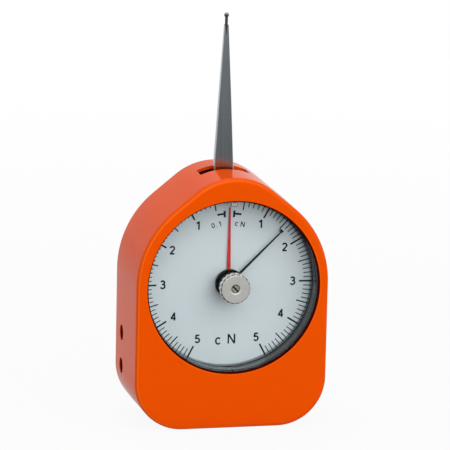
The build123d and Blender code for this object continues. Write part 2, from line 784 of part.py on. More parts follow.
spindle_front = recess_depth + knob_floor - knob_front
with BuildPart() as knob_spindle:
    spindle_back = drag_back + drag_hub_back
    extrude(disc(spindle_back, spindle_radius), amount=spindle_back - spindle_front)
    shank_back = spindle_front + knob_screw_length
    extrude(disc(shank_back, knob_screw_radius), amount=shank_back - spindle_front, mode=Mode.SUBTRACT)
save(knob_spindle, "knob_spindle")

with BuildPart() as reset_knob:
    turned = half_section(
        (-knob_front, 0),
        (-knob_front, knob_radius - knob_edge),
        (-knob_front + knob_edge, knob_radius),
        (knob_back - knob_edge, knob_radius),
        (knob_back, knob_radius - knob_edge),
        (knob_back, 0),
    )
    revolve(turned, axis=dial_axis)
    with BuildSketch(dial_plane(knob_back)):
        with PolarLocations(knob_radius + flute_radius - flute_depth, knob_flutes):
            Circle(flute_radius)
    extrude(amount=knob_thickness, mode=Mode.SUBTRACT)
    recess = half_section(
        (-knob_front, 0),
        (-knob_front, recess_radius + recess_chamfer),
        (-knob_front + recess_chamfer, recess_radius),
        (-knob_front + recess_depth, recess_radius),
        (-knob_front + recess_depth, knob_screw_radius),
        (spindle_front, knob_screw_radius),
        (spindle_front, spindle_radius),
        (knob_back, spindle_radius),
        (knob_back, 0),
    )
    revolve(recess, axis=dial_axis, mode=Mode.SUBTRACT)
save(reset_knob, "reset_knob")

with BuildPart() as knob_screw:
    head_back = recess_depth - knob_front
    head_front = head_back - knob_screw_head_height
    extrude(disc(head_back, knob_screw_head_radius), amount=knob_screw_head_height)
    extrude(disc(shank_back, knob_screw_radius), amount=shank_back - head_back)
    groove_floor = head_front + knob_screw_head_height / 2
    groove = slot_bars(groove_floor, [(0, 0)], 2 * knob_screw_head_radius, screw_slot, knob_slot_turn)
    extrude(groove, amount=knob_screw_head_height / 2, mode=Mode.SUBTRACT)
save(knob_screw, "knob_screw")

with BuildPart() as friction_washer:
    washer_back = bushing_front - washer_gap
    washer = disc(washer_back, washer_radius, hole=spindle_radius + running_fit)
    extrude(washer, amount=washer_thickness)
save(friction_washer, "friction_washer")

with BuildPart() as knob_bushing:
    flange = half_section(
        (bushing_front, spindle_radius + running_fit),
        (bushing_front, bushing_radius),
        (crystal_setback, bushing_radius),
        (crystal_setback, bushing_shank_radius),
        (crystal_back + bushing_overhang, bushing_shank_radius),
        (crystal_back + bushing_overhang, spindle_radius + running_fit),
    )
    revolve(flange, axis=dial_axis)
save(knob_bushing, "knob_bushing")
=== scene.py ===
"""Looks of a dial force gauge with a swinging feeler arm.

Every piece is built in metres in the gauge's own frame: X to the right of the dial, Z up, and the
dial faces -Y. Depth is counted backwards from the front face of the case.
"""

import json
from math import asin, atan2, cos, pi, radians, sin, tau

import bmesh
import bpy
from bpy.props import FloatProperty, FloatVectorProperty, IntProperty, PointerProperty
from mathutils import Matrix, Vector

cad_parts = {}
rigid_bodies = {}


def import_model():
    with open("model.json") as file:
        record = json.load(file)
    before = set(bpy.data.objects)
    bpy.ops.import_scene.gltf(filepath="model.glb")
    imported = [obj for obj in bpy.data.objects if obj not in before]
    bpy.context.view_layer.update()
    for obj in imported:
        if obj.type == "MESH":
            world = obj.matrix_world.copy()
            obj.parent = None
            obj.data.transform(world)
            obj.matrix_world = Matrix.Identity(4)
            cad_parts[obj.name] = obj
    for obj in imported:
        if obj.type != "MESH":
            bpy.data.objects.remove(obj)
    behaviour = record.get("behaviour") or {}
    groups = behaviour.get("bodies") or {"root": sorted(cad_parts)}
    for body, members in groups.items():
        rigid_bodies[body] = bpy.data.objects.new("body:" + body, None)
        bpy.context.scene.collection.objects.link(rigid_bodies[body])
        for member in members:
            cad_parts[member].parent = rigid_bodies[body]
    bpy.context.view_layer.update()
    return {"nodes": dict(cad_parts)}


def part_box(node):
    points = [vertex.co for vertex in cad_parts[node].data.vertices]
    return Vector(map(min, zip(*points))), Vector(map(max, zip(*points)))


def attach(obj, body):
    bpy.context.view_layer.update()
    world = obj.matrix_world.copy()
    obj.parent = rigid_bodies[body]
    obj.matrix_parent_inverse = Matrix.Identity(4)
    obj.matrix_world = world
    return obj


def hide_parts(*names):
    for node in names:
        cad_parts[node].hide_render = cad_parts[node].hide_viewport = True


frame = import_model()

bl_info = {
    "name": "Dial force gauge",
    "version": (1, 0, 0),
    "blender": (4, 5, 0),
    "location": "3D View > Sidebar > Gauge",
    "description": "Builds a dial force gauge: case, window, dial, hands, knob and feeler arm",
    "category": "Add Mesh",
}

MM = 0.001
CASE_LOW, CASE_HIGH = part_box("housing")
DIAL_LOW, DIAL_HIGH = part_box("dial_plate")
FRONT_Y = CASE_LOW.y
DIAL_HEIGHT = (DIAL_LOW.z + DIAL_HIGH.z) / 2


def at(depth, x=0.0, rise=0.0):
    """Point in the gauge's frame, in metres, from millimetres behind the front and off the dial axis."""
    return Vector((x * MM, FRONT_Y + depth * MM, DIAL_HEIGHT + rise * MM))


def facing_front(depth):
    """Takes a shape that lies in XY to a depth on the dial axis and turns it to face the front."""
    return Matrix.Translation(at(depth)) @ Matrix.Rotation(pi / 2, 4, "X")


def turned_size(node):
    """Front depth, back depth and radius of a round CAD node, in millimetres."""
    low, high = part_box(node)
    return (low.y - FRONT_Y) / MM, (high.y - FRONT_Y) / MM, (high.x - low.x) / 2 / MM


DIAL_DEPTH, DIAL_BACK, DIAL_RADIUS = turned_size("dial_plate")


# ---- sizes and colours that a user would change ----


def length(name, description, millimetres):
    return FloatProperty(name=name, description=description, default=millimetres * MM,
                         unit="LENGTH", precision=5)


def colour(name, description, value):
    return FloatVectorProperty(name=name, description=description, default=value, size=3,
                               min=0.0, max=1.0, subtype="COLOR")


def turn(name, description, value):
    return FloatProperty(name=name, description=description, default=radians(value), unit="ROTATION")


class CaseLooks(bpy.types.PropertyGroup):
    corner_radius: length("Lower corners", "Radius of the two lower corners", 15.2)
    crown_radius: length("Crown", "Radius of the crown's arc", 19.15)
    crown_rise: length("Crown centre", "Centre of the crown's arc above the dial axis", 14.7)
    shoulder_rise: length("Shoulder centre", "Centre of the shoulder arc above the dial axis", 0.7)
    edge_round: length("Edge round", "Round between the faces and the side", 1.5)
    wall: length("Wall", "Thickness of the cast wall", 3.0)
    window_radius: length("Window", "Radius of the round window", 27.0)
    window_edge: length("Window edge", "Small round on the window's rim", 0.15)
    lip_radius: length("Lip", "Radius of the thin lip in front of the window's ring", 26.3)
    lip_depth: length("Lip depth", "Depth of the lip", 0.8)
    # Painted shadow: a dark line round the lip, on a circle shifted low and to the right.
    shadow_line_radius: length("Seam", "Radius of the bare dark edge round the lip", 26.8)
    shadow_line_shift: length("Seam shift", "How far the bare edge sits low and to the right", 0.18)
    side_draft: length("Side draft", "How far the sides lean in towards the front", 0.22)
    crown_draft: length("Crown draft", "How much further the crown leans in", 0.23)
    draft_depth: length("Draft depth", "Depth behind the front where the lean ends", 20.0)
    paint: colour("Paint", "Enamel of the case", (0.84, 0.083, 0.0))
    # Painted highlight: the paler colour of the lines along the front edge and on the window's rim,
    # strongest where the light falls.
    painted_highlight: colour("Edge paint", "Paler enamel along the front edge", (1.0, 0.17, 0.012))
    # Painted shade: the dark colour inside the stand holes, the slot and the window's bore.
    hollow_shade: colour("Hole paint", "Darker paint inside the stand holes", (0.22, 0.004, 0.004))


class WindowLooks(bpy.types.PropertyGroup):
    crystal_radius: length("Crystal", "Radius of the clear crystal", 26.5)
    crystal_thickness: length("Thickness", "Thickness of the crystal's face", 1.5)
    crystal_wall: length("Wall", "Thickness of the crystal's side wall", 0.7)
    crystal_round: length("Shoulder", "Round of the crystal's front edge", 0.6)
    ring_thickness: length("Ring", "Thickness of the split ring", 0.4)
    ring_gap: length("Ring gap", "Gap in the ring at six o'clock", 2.95)
    tint: colour("Crystal tint", "Colour of the clear plastic", (0.965, 0.975, 0.98))
    ring: colour("Ring", "Spring steel of the split ring", (0.15, 0.155, 0.155))
    key: colour("Key", "Pale plastic key at twelve o'clock", (0.43, 0.46, 0.47))
    key_edge: colour("Key edge", "Dark red rim of the key", (0.30, 0.04, 0.03))


class DialLooks(bpy.types.PropertyGroup):
    face: colour("Face", "Printed dial", (0.635, 0.705, 0.728))
    ink: colour("Ink", "Marks and numerals", (0.008, 0.008, 0.010))
    full_scale: turn("Full scale", "Turn from zero to the last tick", 152.3)
    tick_step: turn("Tick step", "Turn from tick to tick, a tenth of a unit, at the last tick", 3.045)
    tick_growth: turn("Tick growth", "How much wider the ticks get, tick by tick, towards zero", 0.001)
    zero_squeeze: turn("Zero squeeze", "Turn that each tick inside the first unit loses", 0.5)
    ticks_each_way: IntProperty(name="Ticks", description="Ticks on each side of zero", default=50)
    tick_outer: length("Tick end", "Outer radius of every tick", 26.45)
    long_tick: length("Long tick", "Length of a whole unit's tick", 4.15)
    half_tick: length("Half tick", "Length of a half unit's tick", 3.9)
    short_tick: length("Short tick", "Length of a tenth's tick", 2.7)
    numeral_height: length("Numerals", "Height of the numerals", 2.55)
    unit_height: length("Unit", "Height of the capital letter of the unit", 3.0)
    small_height: length("Small signs", "Height of the small signs beside zero", 1.6)
    stroke: length("Stroke", "Width of a numeral's stroke", 0.51)
    small_stroke: length("Small stroke", "Width of a small sign's stroke", 0.28)


class HandLooks(bpy.types.PropertyGroup):
    red: colour("Red hand", "Lacquer of the pointer", (0.60, 0.028, 0.018))
    black: colour("Drag hand", "Lacquer of the drag pointer", (0.014, 0.015, 0.018))


class KnobLooks(bpy.types.PropertyGroup):
    edge: length("Edge", "Bevel of the knob's rim", 0.4)
    recess_radius: length("Recess", "Radius of the hole in the knob's face", 1.3)
    recess_depth: length("Recess depth", "Depth of the hole in the knob's face", 0.8)
    recess_bevel: length("Recess bevel", "Bevel round the hole", 0.35)
    flutes: IntProperty(name="Flutes", description="Flutes round the knob", default=18)
    flute_depth: length("Flute depth", "How far a flute cuts in", 0.22)
    flute_width: length("Flute width", "Width of a flute at the rim", 0.8)
    nickel: colour("Nickel", "Plating of the knob", (0.97, 0.96, 0.91))


class ArmLooks(bpy.types.PropertyGroup):
    steel: colour("Steel", "Ground steel of the arm", (0.49, 0.55, 0.58))
    burnt: colour("Burnt neck", "Heat-darkened steel round the neck", (0.042, 0.055, 0.038))
    burnt_reach: length("Burnt reach", "How far the dark wedge runs down the blade", 4.6)
    ball: colour("Ball", "Polished dark steel of the ball", (0.20, 0.20, 0.18))


class StageLooks(bpy.types.PropertyGroup):
    floor: colour("Floor", "Pale floor", (0.62, 0.62, 0.62))
    azimuth: turn("Azimuth", "Camera's turn round the gauge", -13.65)
    elevation: turn("Elevation", "Camera's height above the horizon", 11.92)
    roll: turn("Roll", "Camera's turn about its own line of sight", 1.293)
    distance: length("Distance", "Camera's distance from the point that it looks at", 1035.6)
    lens: FloatProperty(name="Lens", description="Focal length in millimetres", default=275.6)


# ---- nodes ----


def maths(operation, reflected=False):
    """A method of Wire that adds one Math node; reflected, the wire is the second value."""
    def add_node(wire, *others):
        terms = (*others, wire) if reflected else (wire, *others)
        return wire.graph.node("ShaderNodeMath", {"operation": operation}, dict(enumerate(terms)))
    return add_node


class Wire:
    """One output of a node, for use in sums as a number is used."""

    __add__, __radd__ = maths("ADD"), maths("ADD", reflected=True)
    __sub__, __rsub__ = maths("SUBTRACT"), maths("SUBTRACT", reflected=True)
    __mul__, __rmul__ = maths("MULTIPLY"), maths("MULTIPLY", reflected=True)
    __truediv__, __rtruediv__ = maths("DIVIDE"), maths("DIVIDE", reflected=True)
    __mod__, __pow__, __abs__ = maths("FLOORED_MODULO"), maths("POWER"), maths("ABSOLUTE")
    __lt__, __gt__ = maths("LESS_THAN"), maths("GREATER_THAN")
    smaller, larger, sign = maths("MINIMUM"), maths("MAXIMUM"), maths("SIGN")
    sine, cosine, arctan = maths("SINE"), maths("COSINE"), maths("ARCTAN2")

    def __init__(self, graph, socket):
        self.graph = graph
        self.socket = socket

    def __neg__(self):
        return self * -1.0

    def other(self, name):
        """Another output of the same node."""
        return Wire(self.graph, self.socket.node.outputs[name])


class Graph:
    """Makes the nodes of one tree."""

    def __init__(self, tree):
        self.tree = tree

    def node(self, kind, settings=None, values=None, output=0):
        """Adds a node: its settings first, then a value or a wire for each named input."""
        made = self.tree.nodes.new(kind)
        for name, setting in (settings or {}).items():
            setattr(made, name, setting)
        for name, value in (values or {}).items():
            if isinstance(value, Wire):
                self.tree.links.new(value.socket, made.inputs[name])
            else:
                made.inputs[name].default_value = value
        return Wire(self, made.outputs[output]) if made.outputs else made

    def split(self, vector):
        """The three parts of a vector."""
        first = self.node("ShaderNodeSeparateXYZ", values={0: vector})
        return first, first.other("Y"), first.other("Z")

    def join(self, x, y, z):
        return self.node("ShaderNodeCombineXYZ", values={0: x, 1: y, 2: z})

    def clamp(self, value):
        return self.node("ShaderNodeClamp", values={0: value})

    def mix(self, share, first, second):
        """A colour between two others."""
        first, second = (value if isinstance(value, Wire) else (*value[:3], 1.0)
                         for value in (first, second))
        values = {0: share, 6: first, 7: second}
        return self.node("ShaderNodeMix", {"data_type": "RGBA"}, values, output=2)

    def blended(self, share, first, second):
        """A shader between two others."""
        return self.node("ShaderNodeMixShader", values={0: share, 1: first, 2: second})


class Finish(Graph):
    """A material and the patterns that its nodes draw from; all its sizes are in millimetres."""

    def __init__(self, name):
        self.material = bpy.data.materials.new(name)
        self.material.use_nodes = True
        super().__init__(self.material.node_tree)
        self.tree.nodes.clear()
        self.place = self.node("ShaderNodeTexCoord", output="Object")

    def scaled(self, size):
        """Object coordinates counted in one size, or in three along X, Y and Z."""
        sizes = size if isinstance(size, tuple) else (size, size, size)
        values = {0: self.place, 1: tuple(part * MM for part in sizes)}
        return self.node("ShaderNodeVectorMath", {"operation": "DIVIDE"}, values)

    def noise(self, vector, detail=2.0):
        values = {"Vector": vector, "Scale": 1.0, "Detail": detail, "Roughness": 0.5}
        return self.node("ShaderNodeTexNoise", values=values)

    def grain(self, size, detail=2.0):
        """Soft noise from 0 to 1 whose lumps have about the given size, or three sizes."""
        return self.noise(self.scaled(size), detail)

    def specks(self, spacing, size):
        """Small round spots, 1 inside and 0 outside, about a spacing apart."""
        values = {"Vector": self.scaled(spacing), "Scale": 1.0}
        return self.node("ShaderNodeTexVoronoi", values=values) < size

    def scratches(self, fine, broad, deep, detail):
        """Long scratches from three sets of sizes: fine, their broad drift, and a few deep ones."""
        return self.grain(fine, detail), self.grain(broad), self.grain(deep) > 0.66

    def toned(self, share, base, low, high):
        """The base colour, between a darker and a lighter tone of it."""
        return self.mix(share, shade(base, low), shade(base, high))

    def principled(self, values):
        return self.node("ShaderNodeBsdfPrincipled", values=values)

    def output(self, shader):
        self.node("ShaderNodeOutputMaterial", values={"Surface": shader})
        return self.material

    def surface(self, base, roughness, relief=None, metal=0.0, gloss=0.5, coat=0.0):
        """The main shader, on the output; its relief is a height, a distance in metres and a strength."""
        values = {"Base Color": base, "Roughness": roughness, "Metallic": metal,
                  "Specular IOR Level": gloss, "Coat Weight": coat}
        if relief:
            bump = dict(zip(("Height", "Distance", "Strength"), relief))
            values["Normal"] = self.node("ShaderNodeBump", values=bump)
        return self.output(self.principled(values))


def shade(base, factor):
    return tuple(part * factor for part in base[:3])


def span(x, z):
    """Distance from a middle that two wires are counted from."""
    return (x * x + z * z) ** 0.5


# ---- finishes ----

NECK = 2.03 * MM  # from the ball down to the blade's top
BURNT_SHIFT, BURNT_HALF_WIDTH, BURNT_FADE = 0.1 * MM, 0.6 * MM, 1.6 * MM
HIGHLIGHT_LINE, SILL_HIGHLIGHT_LINE = 0.27, 0.2  # middle of the painted highlight lines, in mm behind the front and past the painted shadow line
LINE_REACH = 0.2
SLOT_ROOM, SLOT_SKIN = 0.4, 0.9  # how far the slot's painted shade goes past its walls, and how far below the crown it starts
HOLE_ROOM, PAINT_SKIN = 0.15 * MM, 0.25 * MM  # round a stand hole, and in from the side to its painted shade
BORE_ROOM, FRONT_SKIN = 0.1, 0.6  # in mm: round the window's bore, whose wall has painted shade, and how deep the painted highlight on the window's rim goes
FLUTE_BEVEL, RING_SHADE_DEPTH, SCREW_TOP = 0.32, 0.12, 0.1  # in mm, where painted shade starts: the knob's rim, the ring's front and the screw's top
KEY_RIM, KEY_BAR_HALF = 0.22 * MM, 0.5 * MM
KEY_BAR = (0.8 * MM, 0.25 * MM)  # its lower and upper edge, below the key's top
SHOULDER_START, SHOULDER_END = 0.5, 1.2  # the crystal's shoulder with painted shade, in rounds of its front edge


def mottled(name, base, tones, size, detail, roughness, relief=None, pits=0.0, **sheen):
    """A finish whose tone, gloss and relief follow one fine noise of the given size.

    The roughness is its least value and its spread, and the relief is a distance and a strength.
    """
    f = Finish(name)
    mottle = f.grain(size, detail)
    height = mottle - f.specks(pits, 0.08) if pits else mottle
    least, spread = roughness
    return f.surface(f.toned(mottle, base, *tones), least + spread * mottle,
                     (height, *relief) if relief else None, **sheen)


def soft_metal(name, base, roughness, size=0.7):
    """Rolled or bead-finished metal with a faint mottle and small pits."""
    return mottled(name, base, (0.82, 1.1), size, 4, (roughness, 0.18), (4e-6, 0.5), size * 3, metal=1.0)


def lacquer(name, base):
    """Brushed-on lacquer over stamped sheet."""
    return mottled(name, base, (0.9, 1.12), 0.6, 2, (0.3, 0.1), (8e-6, 0.4), gloss=0.25)


def moulded(name, base, gloss):
    """Moulded plastic with a fine spark texture."""
    return mottled(name, base, (0.9, 1.12), 0.35, 3, (0.45, 0.15), (6e-6, 0.35), gloss=gloss)


def cover_finish(base):
    """Sprayed and baked enamel: a little orange peel, fine dust nibs and a slow drift in tone."""
    f = Finish("cover_paint")
    drift, peel, nibs = f.grain(18, 3), f.grain(1.3, 1), f.specks(2.6, 0.05)
    return f.surface(f.toned(drift, base, 0.96, 1.03), 0.26 + 0.06 * peel + 0.05 * nibs,
                     (peel + 0.8 * nibs, 6e-6, 0.6), gloss=0.05)


def dial_finish(base):
    """Satin sheet with a faint vertical rolling grain and a slow drift in tone."""
    f = Finish("dial_enamel")
    rolled, drift = f.grain((0.25, 1000, 9)), f.grain(14, 3)
    tone = f.clamp(0.5 * drift + 0.5 * rolled)
    return f.surface(f.toned(tone, base, 0.95, 1.05), 0.42 + 0.12 * rolled,
                     (rolled, 2e-6, 0.5), gloss=0.35)


def clear_plastic(looks):
    """Cast acrylic with a few hairline scratches and a shoulder tinted dark as painted shade.

    Its gloss is in the coat of its face, so that it bends nothing.
    """
    f = Finish("clear_acrylic")
    x, y, z = f.split(f.place)
    face = y < at(turned_size("crystal")[0]).y + SHOULDER_END * looks.crystal_round
    # Painted shade: the shoulder of the face is tinted dark, standing in for the dark edge that bent light
    # gives a real crystal.
    shoulder_start = looks.crystal_radius - SHOULDER_START * looks.crystal_round
    shoulder = face * (span(x, z - DIAL_HEIGHT) > shoulder_start)
    clear = f.principled({
        "Base Color": f.mix(shoulder, looks.tint, shade(looks.tint, 0.12)),
        "Roughness": 0.01 + 0.03 * (f.grain((9, 9, 0.09)) > 0.7),
        "IOR": 1.03, "Transmission Weight": 1.0,
        "Coat Weight": 1.0 * face, "Coat Roughness": 0.015, "Coat IOR": 1.49})
    shadow = f.node("ShaderNodeLightPath", output="Is Shadow Ray")
    through = f.node("ShaderNodeBsdfTransparent", values={"Color": (*looks.tint, 1.0)})
    return f.output(f.blended(shadow, clear, through))


def brass_finish(base):
    """Brass sheet ground lengthwise: long fine scratches, with a few deeper ones."""
    f = Finish("brass")
    fine, broad, deep = f.scratches((0.3, 0.3, 8.0), (1.5, 1.5, 40.0), (0.51, 0.51, 13.6), 4)
    return f.surface(f.toned(f.clamp(0.6 * fine + 0.4 * broad), base, 0.72, 1.3),
                     0.28 + 0.14 * fine + 0.08 * deep, (fine - 0.4 * deep, 5e-6, 0.55), metal=1.0)


def arm_finish(looks):
    """Ground steel with scratches along the arm, burnt dark in a wedge below the neck."""
    f = Finish("arm_steel")
    x, _, z = f.split(f.place)
    fine, broad, deep = f.scratches((0.14, 0.14, 16), (0.7, 0.7, 45), (0.3, 0.3, 22), 3)
    below_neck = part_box("feeler_ball")[0].z - NECK - z
    wedge = looks.burnt_reach * (1 - abs(x + BURNT_SHIFT) / BURNT_HALF_WIDTH)
    burnt = f.clamp((wedge - below_neck) / BURNT_FADE)
    steel = f.toned(f.clamp(0.45 * fine + 0.55 * broad), looks.steel, 0.62, 1.35)
    return f.surface(f.mix(burnt, steel, looks.burnt), 0.13 + 0.08 * fine + 0.05 * deep + 0.2 * burnt,
                     (fine - 0.4 * deep, 2e-6, 0.4), metal=1 - 0.6 * burnt)


def cover_screw_finish(base):
    """Turned metal: fine arcs across each small head, with faint smears."""
    f = Finish("cover_screw_steel")
    x, y, z = f.split(f.place)
    pitch = 0.11 * MM
    rings = f.noise(f.join(span(x, z) / pitch, y / pitch, 0.0), 3)
    smears = f.grain(0.5)
    return f.surface(f.toned(f.clamp(0.75 * rings + 0.25 * smears), base, 0.74, 1.18),
                     0.3 + 0.16 * rings, (rings + 0.2 * smears, 6e-6, 0.6), metal=1.0)


def ring_finish(looks):
    """Spring steel with painted shade on the narrow edge that faces the front, coloured near black as the
    shadow between ring and case.
    """
    f = Finish("ring_steel")
    streaks = f.grain(0.8)
    # Painted shade: near black on the front edge, where the shadow between ring and case falls.
    edge = f.split(f.place)[1] < at(turned_size("crystal_ring")[0] + RING_SHADE_DEPTH).y
    body = f.toned(streaks, looks.ring, 0.8, 1.15)
    return f.surface(f.mix(edge, body, shade(looks.ring, 0.04)), 0.34 + 0.12 * streaks + 0.2 * edge,
                     (streaks, 4e-6, 0.4), metal=1 - edge, gloss=0.08)


def knob_finish(looks):
    """Plated metal faced on a lathe, with painted shade: near black in its well and on the bevel between
    the flutes.
    """
    f = Finish("nickel")
    front, _, rim = turned_size("reset_knob")
    x, y, z = f.split(f.place)
    radius = span(x, z - DIAL_HEIGHT) / MM
    behind_face = (y - FRONT_Y) / MM - front
    pitch = 0.12
    rings = f.noise(f.join(radius / pitch, behind_face / pitch, 0.0), 3)
    smears = f.grain(1.6, 3)
    # Painted shade: the bevel between the flutes and the well are coloured near black.
    bevel = (behind_face < looks.edge / MM + 0.03) * (radius > rim - FLUTE_BEVEL)
    well_shade = (radius < looks.recess_radius / MM + 0.05) * (behind_face > looks.recess_bevel / MM - 0.03)
    plating = f.toned(f.clamp(0.6 * rings + 0.4 * smears), looks.nickel, 0.76, 1.14)
    return f.surface(f.mix(bevel.larger(well_shade), plating, shade(looks.nickel, 0.12)), 0.5 + 0.12 * rings,
                     (rings + 0.3 * smears, 6e-6, 0.6), metal=0.8)


def knob_screw_finish():
    """Bright turned head, with painted shade: near black in its slot and down its side."""
    f = Finish("knob_screw_steel")
    # Painted shade: everything below the head's top is coloured near black.
    deep = f.split(f.place)[1] > at(turned_size("knob_screw")[0] + SCREW_TOP).y
    smears = f.grain(0.4)
    bright = f.mix(smears, (0.86, 0.84, 0.76), (1.0, 0.99, 0.93))
    return f.surface(f.mix(deep, bright, (0.03, 0.03, 0.025)), 0.42 + 0.15 * smears,
                     (smears, 8e-6, 0.6), metal=1.0)


def key_finish(looks):
    """Translucent pale plastic with a dark red rim and a dark red bar near its top."""
    f = Finish("key_plastic")
    low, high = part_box("crystal_key")
    x, _, z = f.split(f.place)
    spark = f.grain(0.4, 3)
    rim = (high.x - abs(x)).smaller(z - low.z) < KEY_RIM
    bar = (z > high.z - KEY_BAR[0]) * (z < high.z - KEY_BAR[1]) * (abs(x) < KEY_BAR_HALF)
    body = f.toned(spark, looks.key, 0.95, 1.05)
    return f.surface(f.mix(rim.larger(bar) * 0.85, body, looks.key_edge), 0.35 + 0.1 * spark,
                     (spark, 4e-6, 0.3), gloss=0.3)


def case_finish(looks):
    """The case's enamel, with a painted highlight along the front edge and on the window's rim.

    It has painted shade inside the window's bore, in a painted shadow line round the lip, in the two stand
    holes and in the slot.
    """
    f = Finish("case_paint")
    x, y, z = f.split(f.place)
    drift, peel, nibs = f.grain(18, 3), f.grain(1.2, 1), f.specks(3.1, 0.045)
    behind_front = (y - FRONT_Y) / MM
    up = z - DIAL_HEIGHT
    paint = f.toned(drift, looks.paint, 0.98, 1.02)
    # Painted highlight: a paler line along the front edge, fading towards the right, and one on the
    # window's rim, towards the lower right.
    to_left, to_lower_right = f.clamp(0.7 - x / (26 * MM)), f.clamp(0.5 + (x - 1.2 * up) / (30 * MM))
    line = f.clamp(1 - abs(behind_front - HIGHLIGHT_LINE) / LINE_REACH) * to_left
    paint = f.mix(0.8 * line, paint, looks.painted_highlight)
    past_shadow_line = span(x - looks.shadow_line_shift, up + looks.shadow_line_shift) - looks.shadow_line_radius
    sill_highlight = f.clamp(1 - abs(past_shadow_line / MM - SILL_HIGHLIGHT_LINE) / LINE_REACH)
    paint = f.mix(0.5 * sill_highlight * to_lower_right * (behind_front < FRONT_SKIN), paint, looks.painted_highlight)
    # Painted shade on the wall of the window's bore, and a painted shadow line round the lip.
    bore = span(x, up) < looks.window_radius + BORE_ROOM * MM
    bore = bore * (behind_front > looks.lip_depth / MM - BORE_ROOM)
    paint = f.mix(bore.larger(past_shadow_line < 0.0), paint, shade(looks.hollow_shade, 0.15))
    # Painted shade: the slot's walls are dark from a little below the crown's surface.
    above_crown = up - looks.crown_rise
    slot_shade = (span(x, above_crown) < looks.crown_radius - SLOT_SKIN * MM) * (above_crown > 0)
    across = abs(x) < (SLOT_HALF_LENGTH + SLOT_ROOM) * MM
    along = (behind_front > SLOT_DEPTHS[0] - SLOT_ROOM) * (behind_front < SLOT_DEPTHS[1] + SLOT_ROOM)
    paint = f.mix(across * along * slot_shade, paint, shade(looks.hollow_shade, 0.25))
    # Painted shade: dark inside the two stand holes.
    reach = STAND_HOLE_RADIUS + HOLE_ROOM
    inside_wall = (x > CASE_LOW.x + PAINT_SKIN) * (x < CASE_LOW.x + STAND_HOLE_DEPTH + STAND_PAD)
    between = (z > STAND_HOLES_Z[0] - reach) * (z < STAND_HOLES_Z[1] + reach)
    hole_shade = inside_wall * between * (abs(y - STAND_HOLES_Y) < reach)
    return f.surface(f.mix(hole_shade, paint, looks.hollow_shade), 0.07 + 0.05 * peel + 0.05 * nibs,
                     (peel + 0.8 * nibs, 3e-6, 0.4), gloss=0.05)


# ---- mesh helpers ----

QUARTER = [step * pi / 2 / 8 for step in range(9)]  # angles of a small round between two faces
CREASE, BEVELLED_FROM, FLAT_WITHIN = radians(32), radians(35), radians(0.4)
MERGED_WITHIN = 1e-7


def polar(radius, angle):
    """Place across and up, at an angle clockwise from the top."""
    return radius * sin(angle), radius * cos(angle)


def link(name, data):
    made = bpy.data.objects.new(name, data)
    bpy.context.scene.collection.objects.link(made)
    return made


def baked(host):
    """The host's mesh with its modifiers applied; the host is removed."""
    graph = bpy.context.evaluated_depsgraph_get()
    mesh = bpy.data.meshes.new_from_object(host.evaluated_get(graph), depsgraph=graph)
    bpy.data.objects.remove(host)
    return mesh


def to_mesh(name, bm):
    mesh = bpy.data.meshes.new(name)
    bmesh.ops.recalc_face_normals(bm, faces=bm.faces)
    bm.to_mesh(mesh)
    bm.free()
    return mesh


def rings_mesh(name, rings, capped=False):
    """Skin over rings of points; it has two caps, or its last ring joins to its first."""
    bm = bmesh.new()
    rows = [[bm.verts.new(point) for point in ring] for ring in rings]
    for near, far in zip(rows, rows[1:] if capped else rows[1:] + rows[:1]):
        for step in range(len(near)):
            after = (step + 1) % len(near)
            bm.faces.new((near[step], near[after], far[after], far[step]))
    if capped:
        bm.faces.new(rows[0])
        bm.faces.new(list(reversed(rows[-1])))
    return to_mesh(name, bm)


def turned_mesh(name, stations, segments, gap=0.0):
    """Turned shape from a closed loop of (depth, radius) in mm, with a gap in radians at six o'clock."""
    start = pi + gap / 2 if gap else 0.0
    angles = [start + (tau - gap) * step / segments for step in range(segments + bool(gap))]
    rings = [[at(depth, *polar(radius, angle)) for angle in angles] for depth, radius in stations]
    return rings_mesh(name, [list(points) for points in zip(*rings)] if gap else rings, capped=bool(gap))


def block(low, high):
    """Mesh of a box between two corners."""
    bm = bmesh.new()
    bmesh.ops.create_cube(bm, size=1.0)
    bmesh.ops.scale(bm, vec=high - low, verts=bm.verts)
    bmesh.ops.translate(bm, vec=(low + high) / 2, verts=bm.verts)
    return to_mesh("block", bm)


def peg(base, radius, reach):
    """Mesh of a round bar from a point to the right."""
    bm = bmesh.new()
    bmesh.ops.create_cone(bm, cap_ends=True, segments=64, radius1=radius, radius2=radius, depth=reach)
    place = Matrix.Translation(base + Vector((reach / 2, 0, 0))) @ Matrix.Rotation(pi / 2, 4, "Y")
    bmesh.ops.transform(bm, matrix=place, verts=bm.verts)
    return to_mesh("peg", bm)


def carved(mesh, tools, operation="DIFFERENCE"):
    """The mesh after each tool mesh is cut from it or joined to it."""
    host = link("carving", mesh)
    helpers = [link("tool", tool) for tool in tools]
    for helper in helpers:
        step = host.modifiers.new("carve", "BOOLEAN")
        step.operation = operation
        step.solver = "EXACT"
        step.object = helper
    result = baked(host)
    for helper in helpers:
        bpy.data.objects.remove(helper)
    return result


def piece(name, mesh, material, body, stands_for=None):
    """Finishes a mesh as a named piece that rides on a body."""
    mesh.materials.clear()
    mesh.materials.append(material)
    mesh.shade_smooth()
    mesh.set_sharp_from_angle(angle=CREASE)
    host = link("shading", mesh)
    even = host.modifiers.new("shading", "WEIGHTED_NORMAL")
    even.keep_sharp = True
    made = link(name, baked(host))
    made.data.name = name
    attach(made, body)
    if stands_for:
        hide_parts(stands_for)


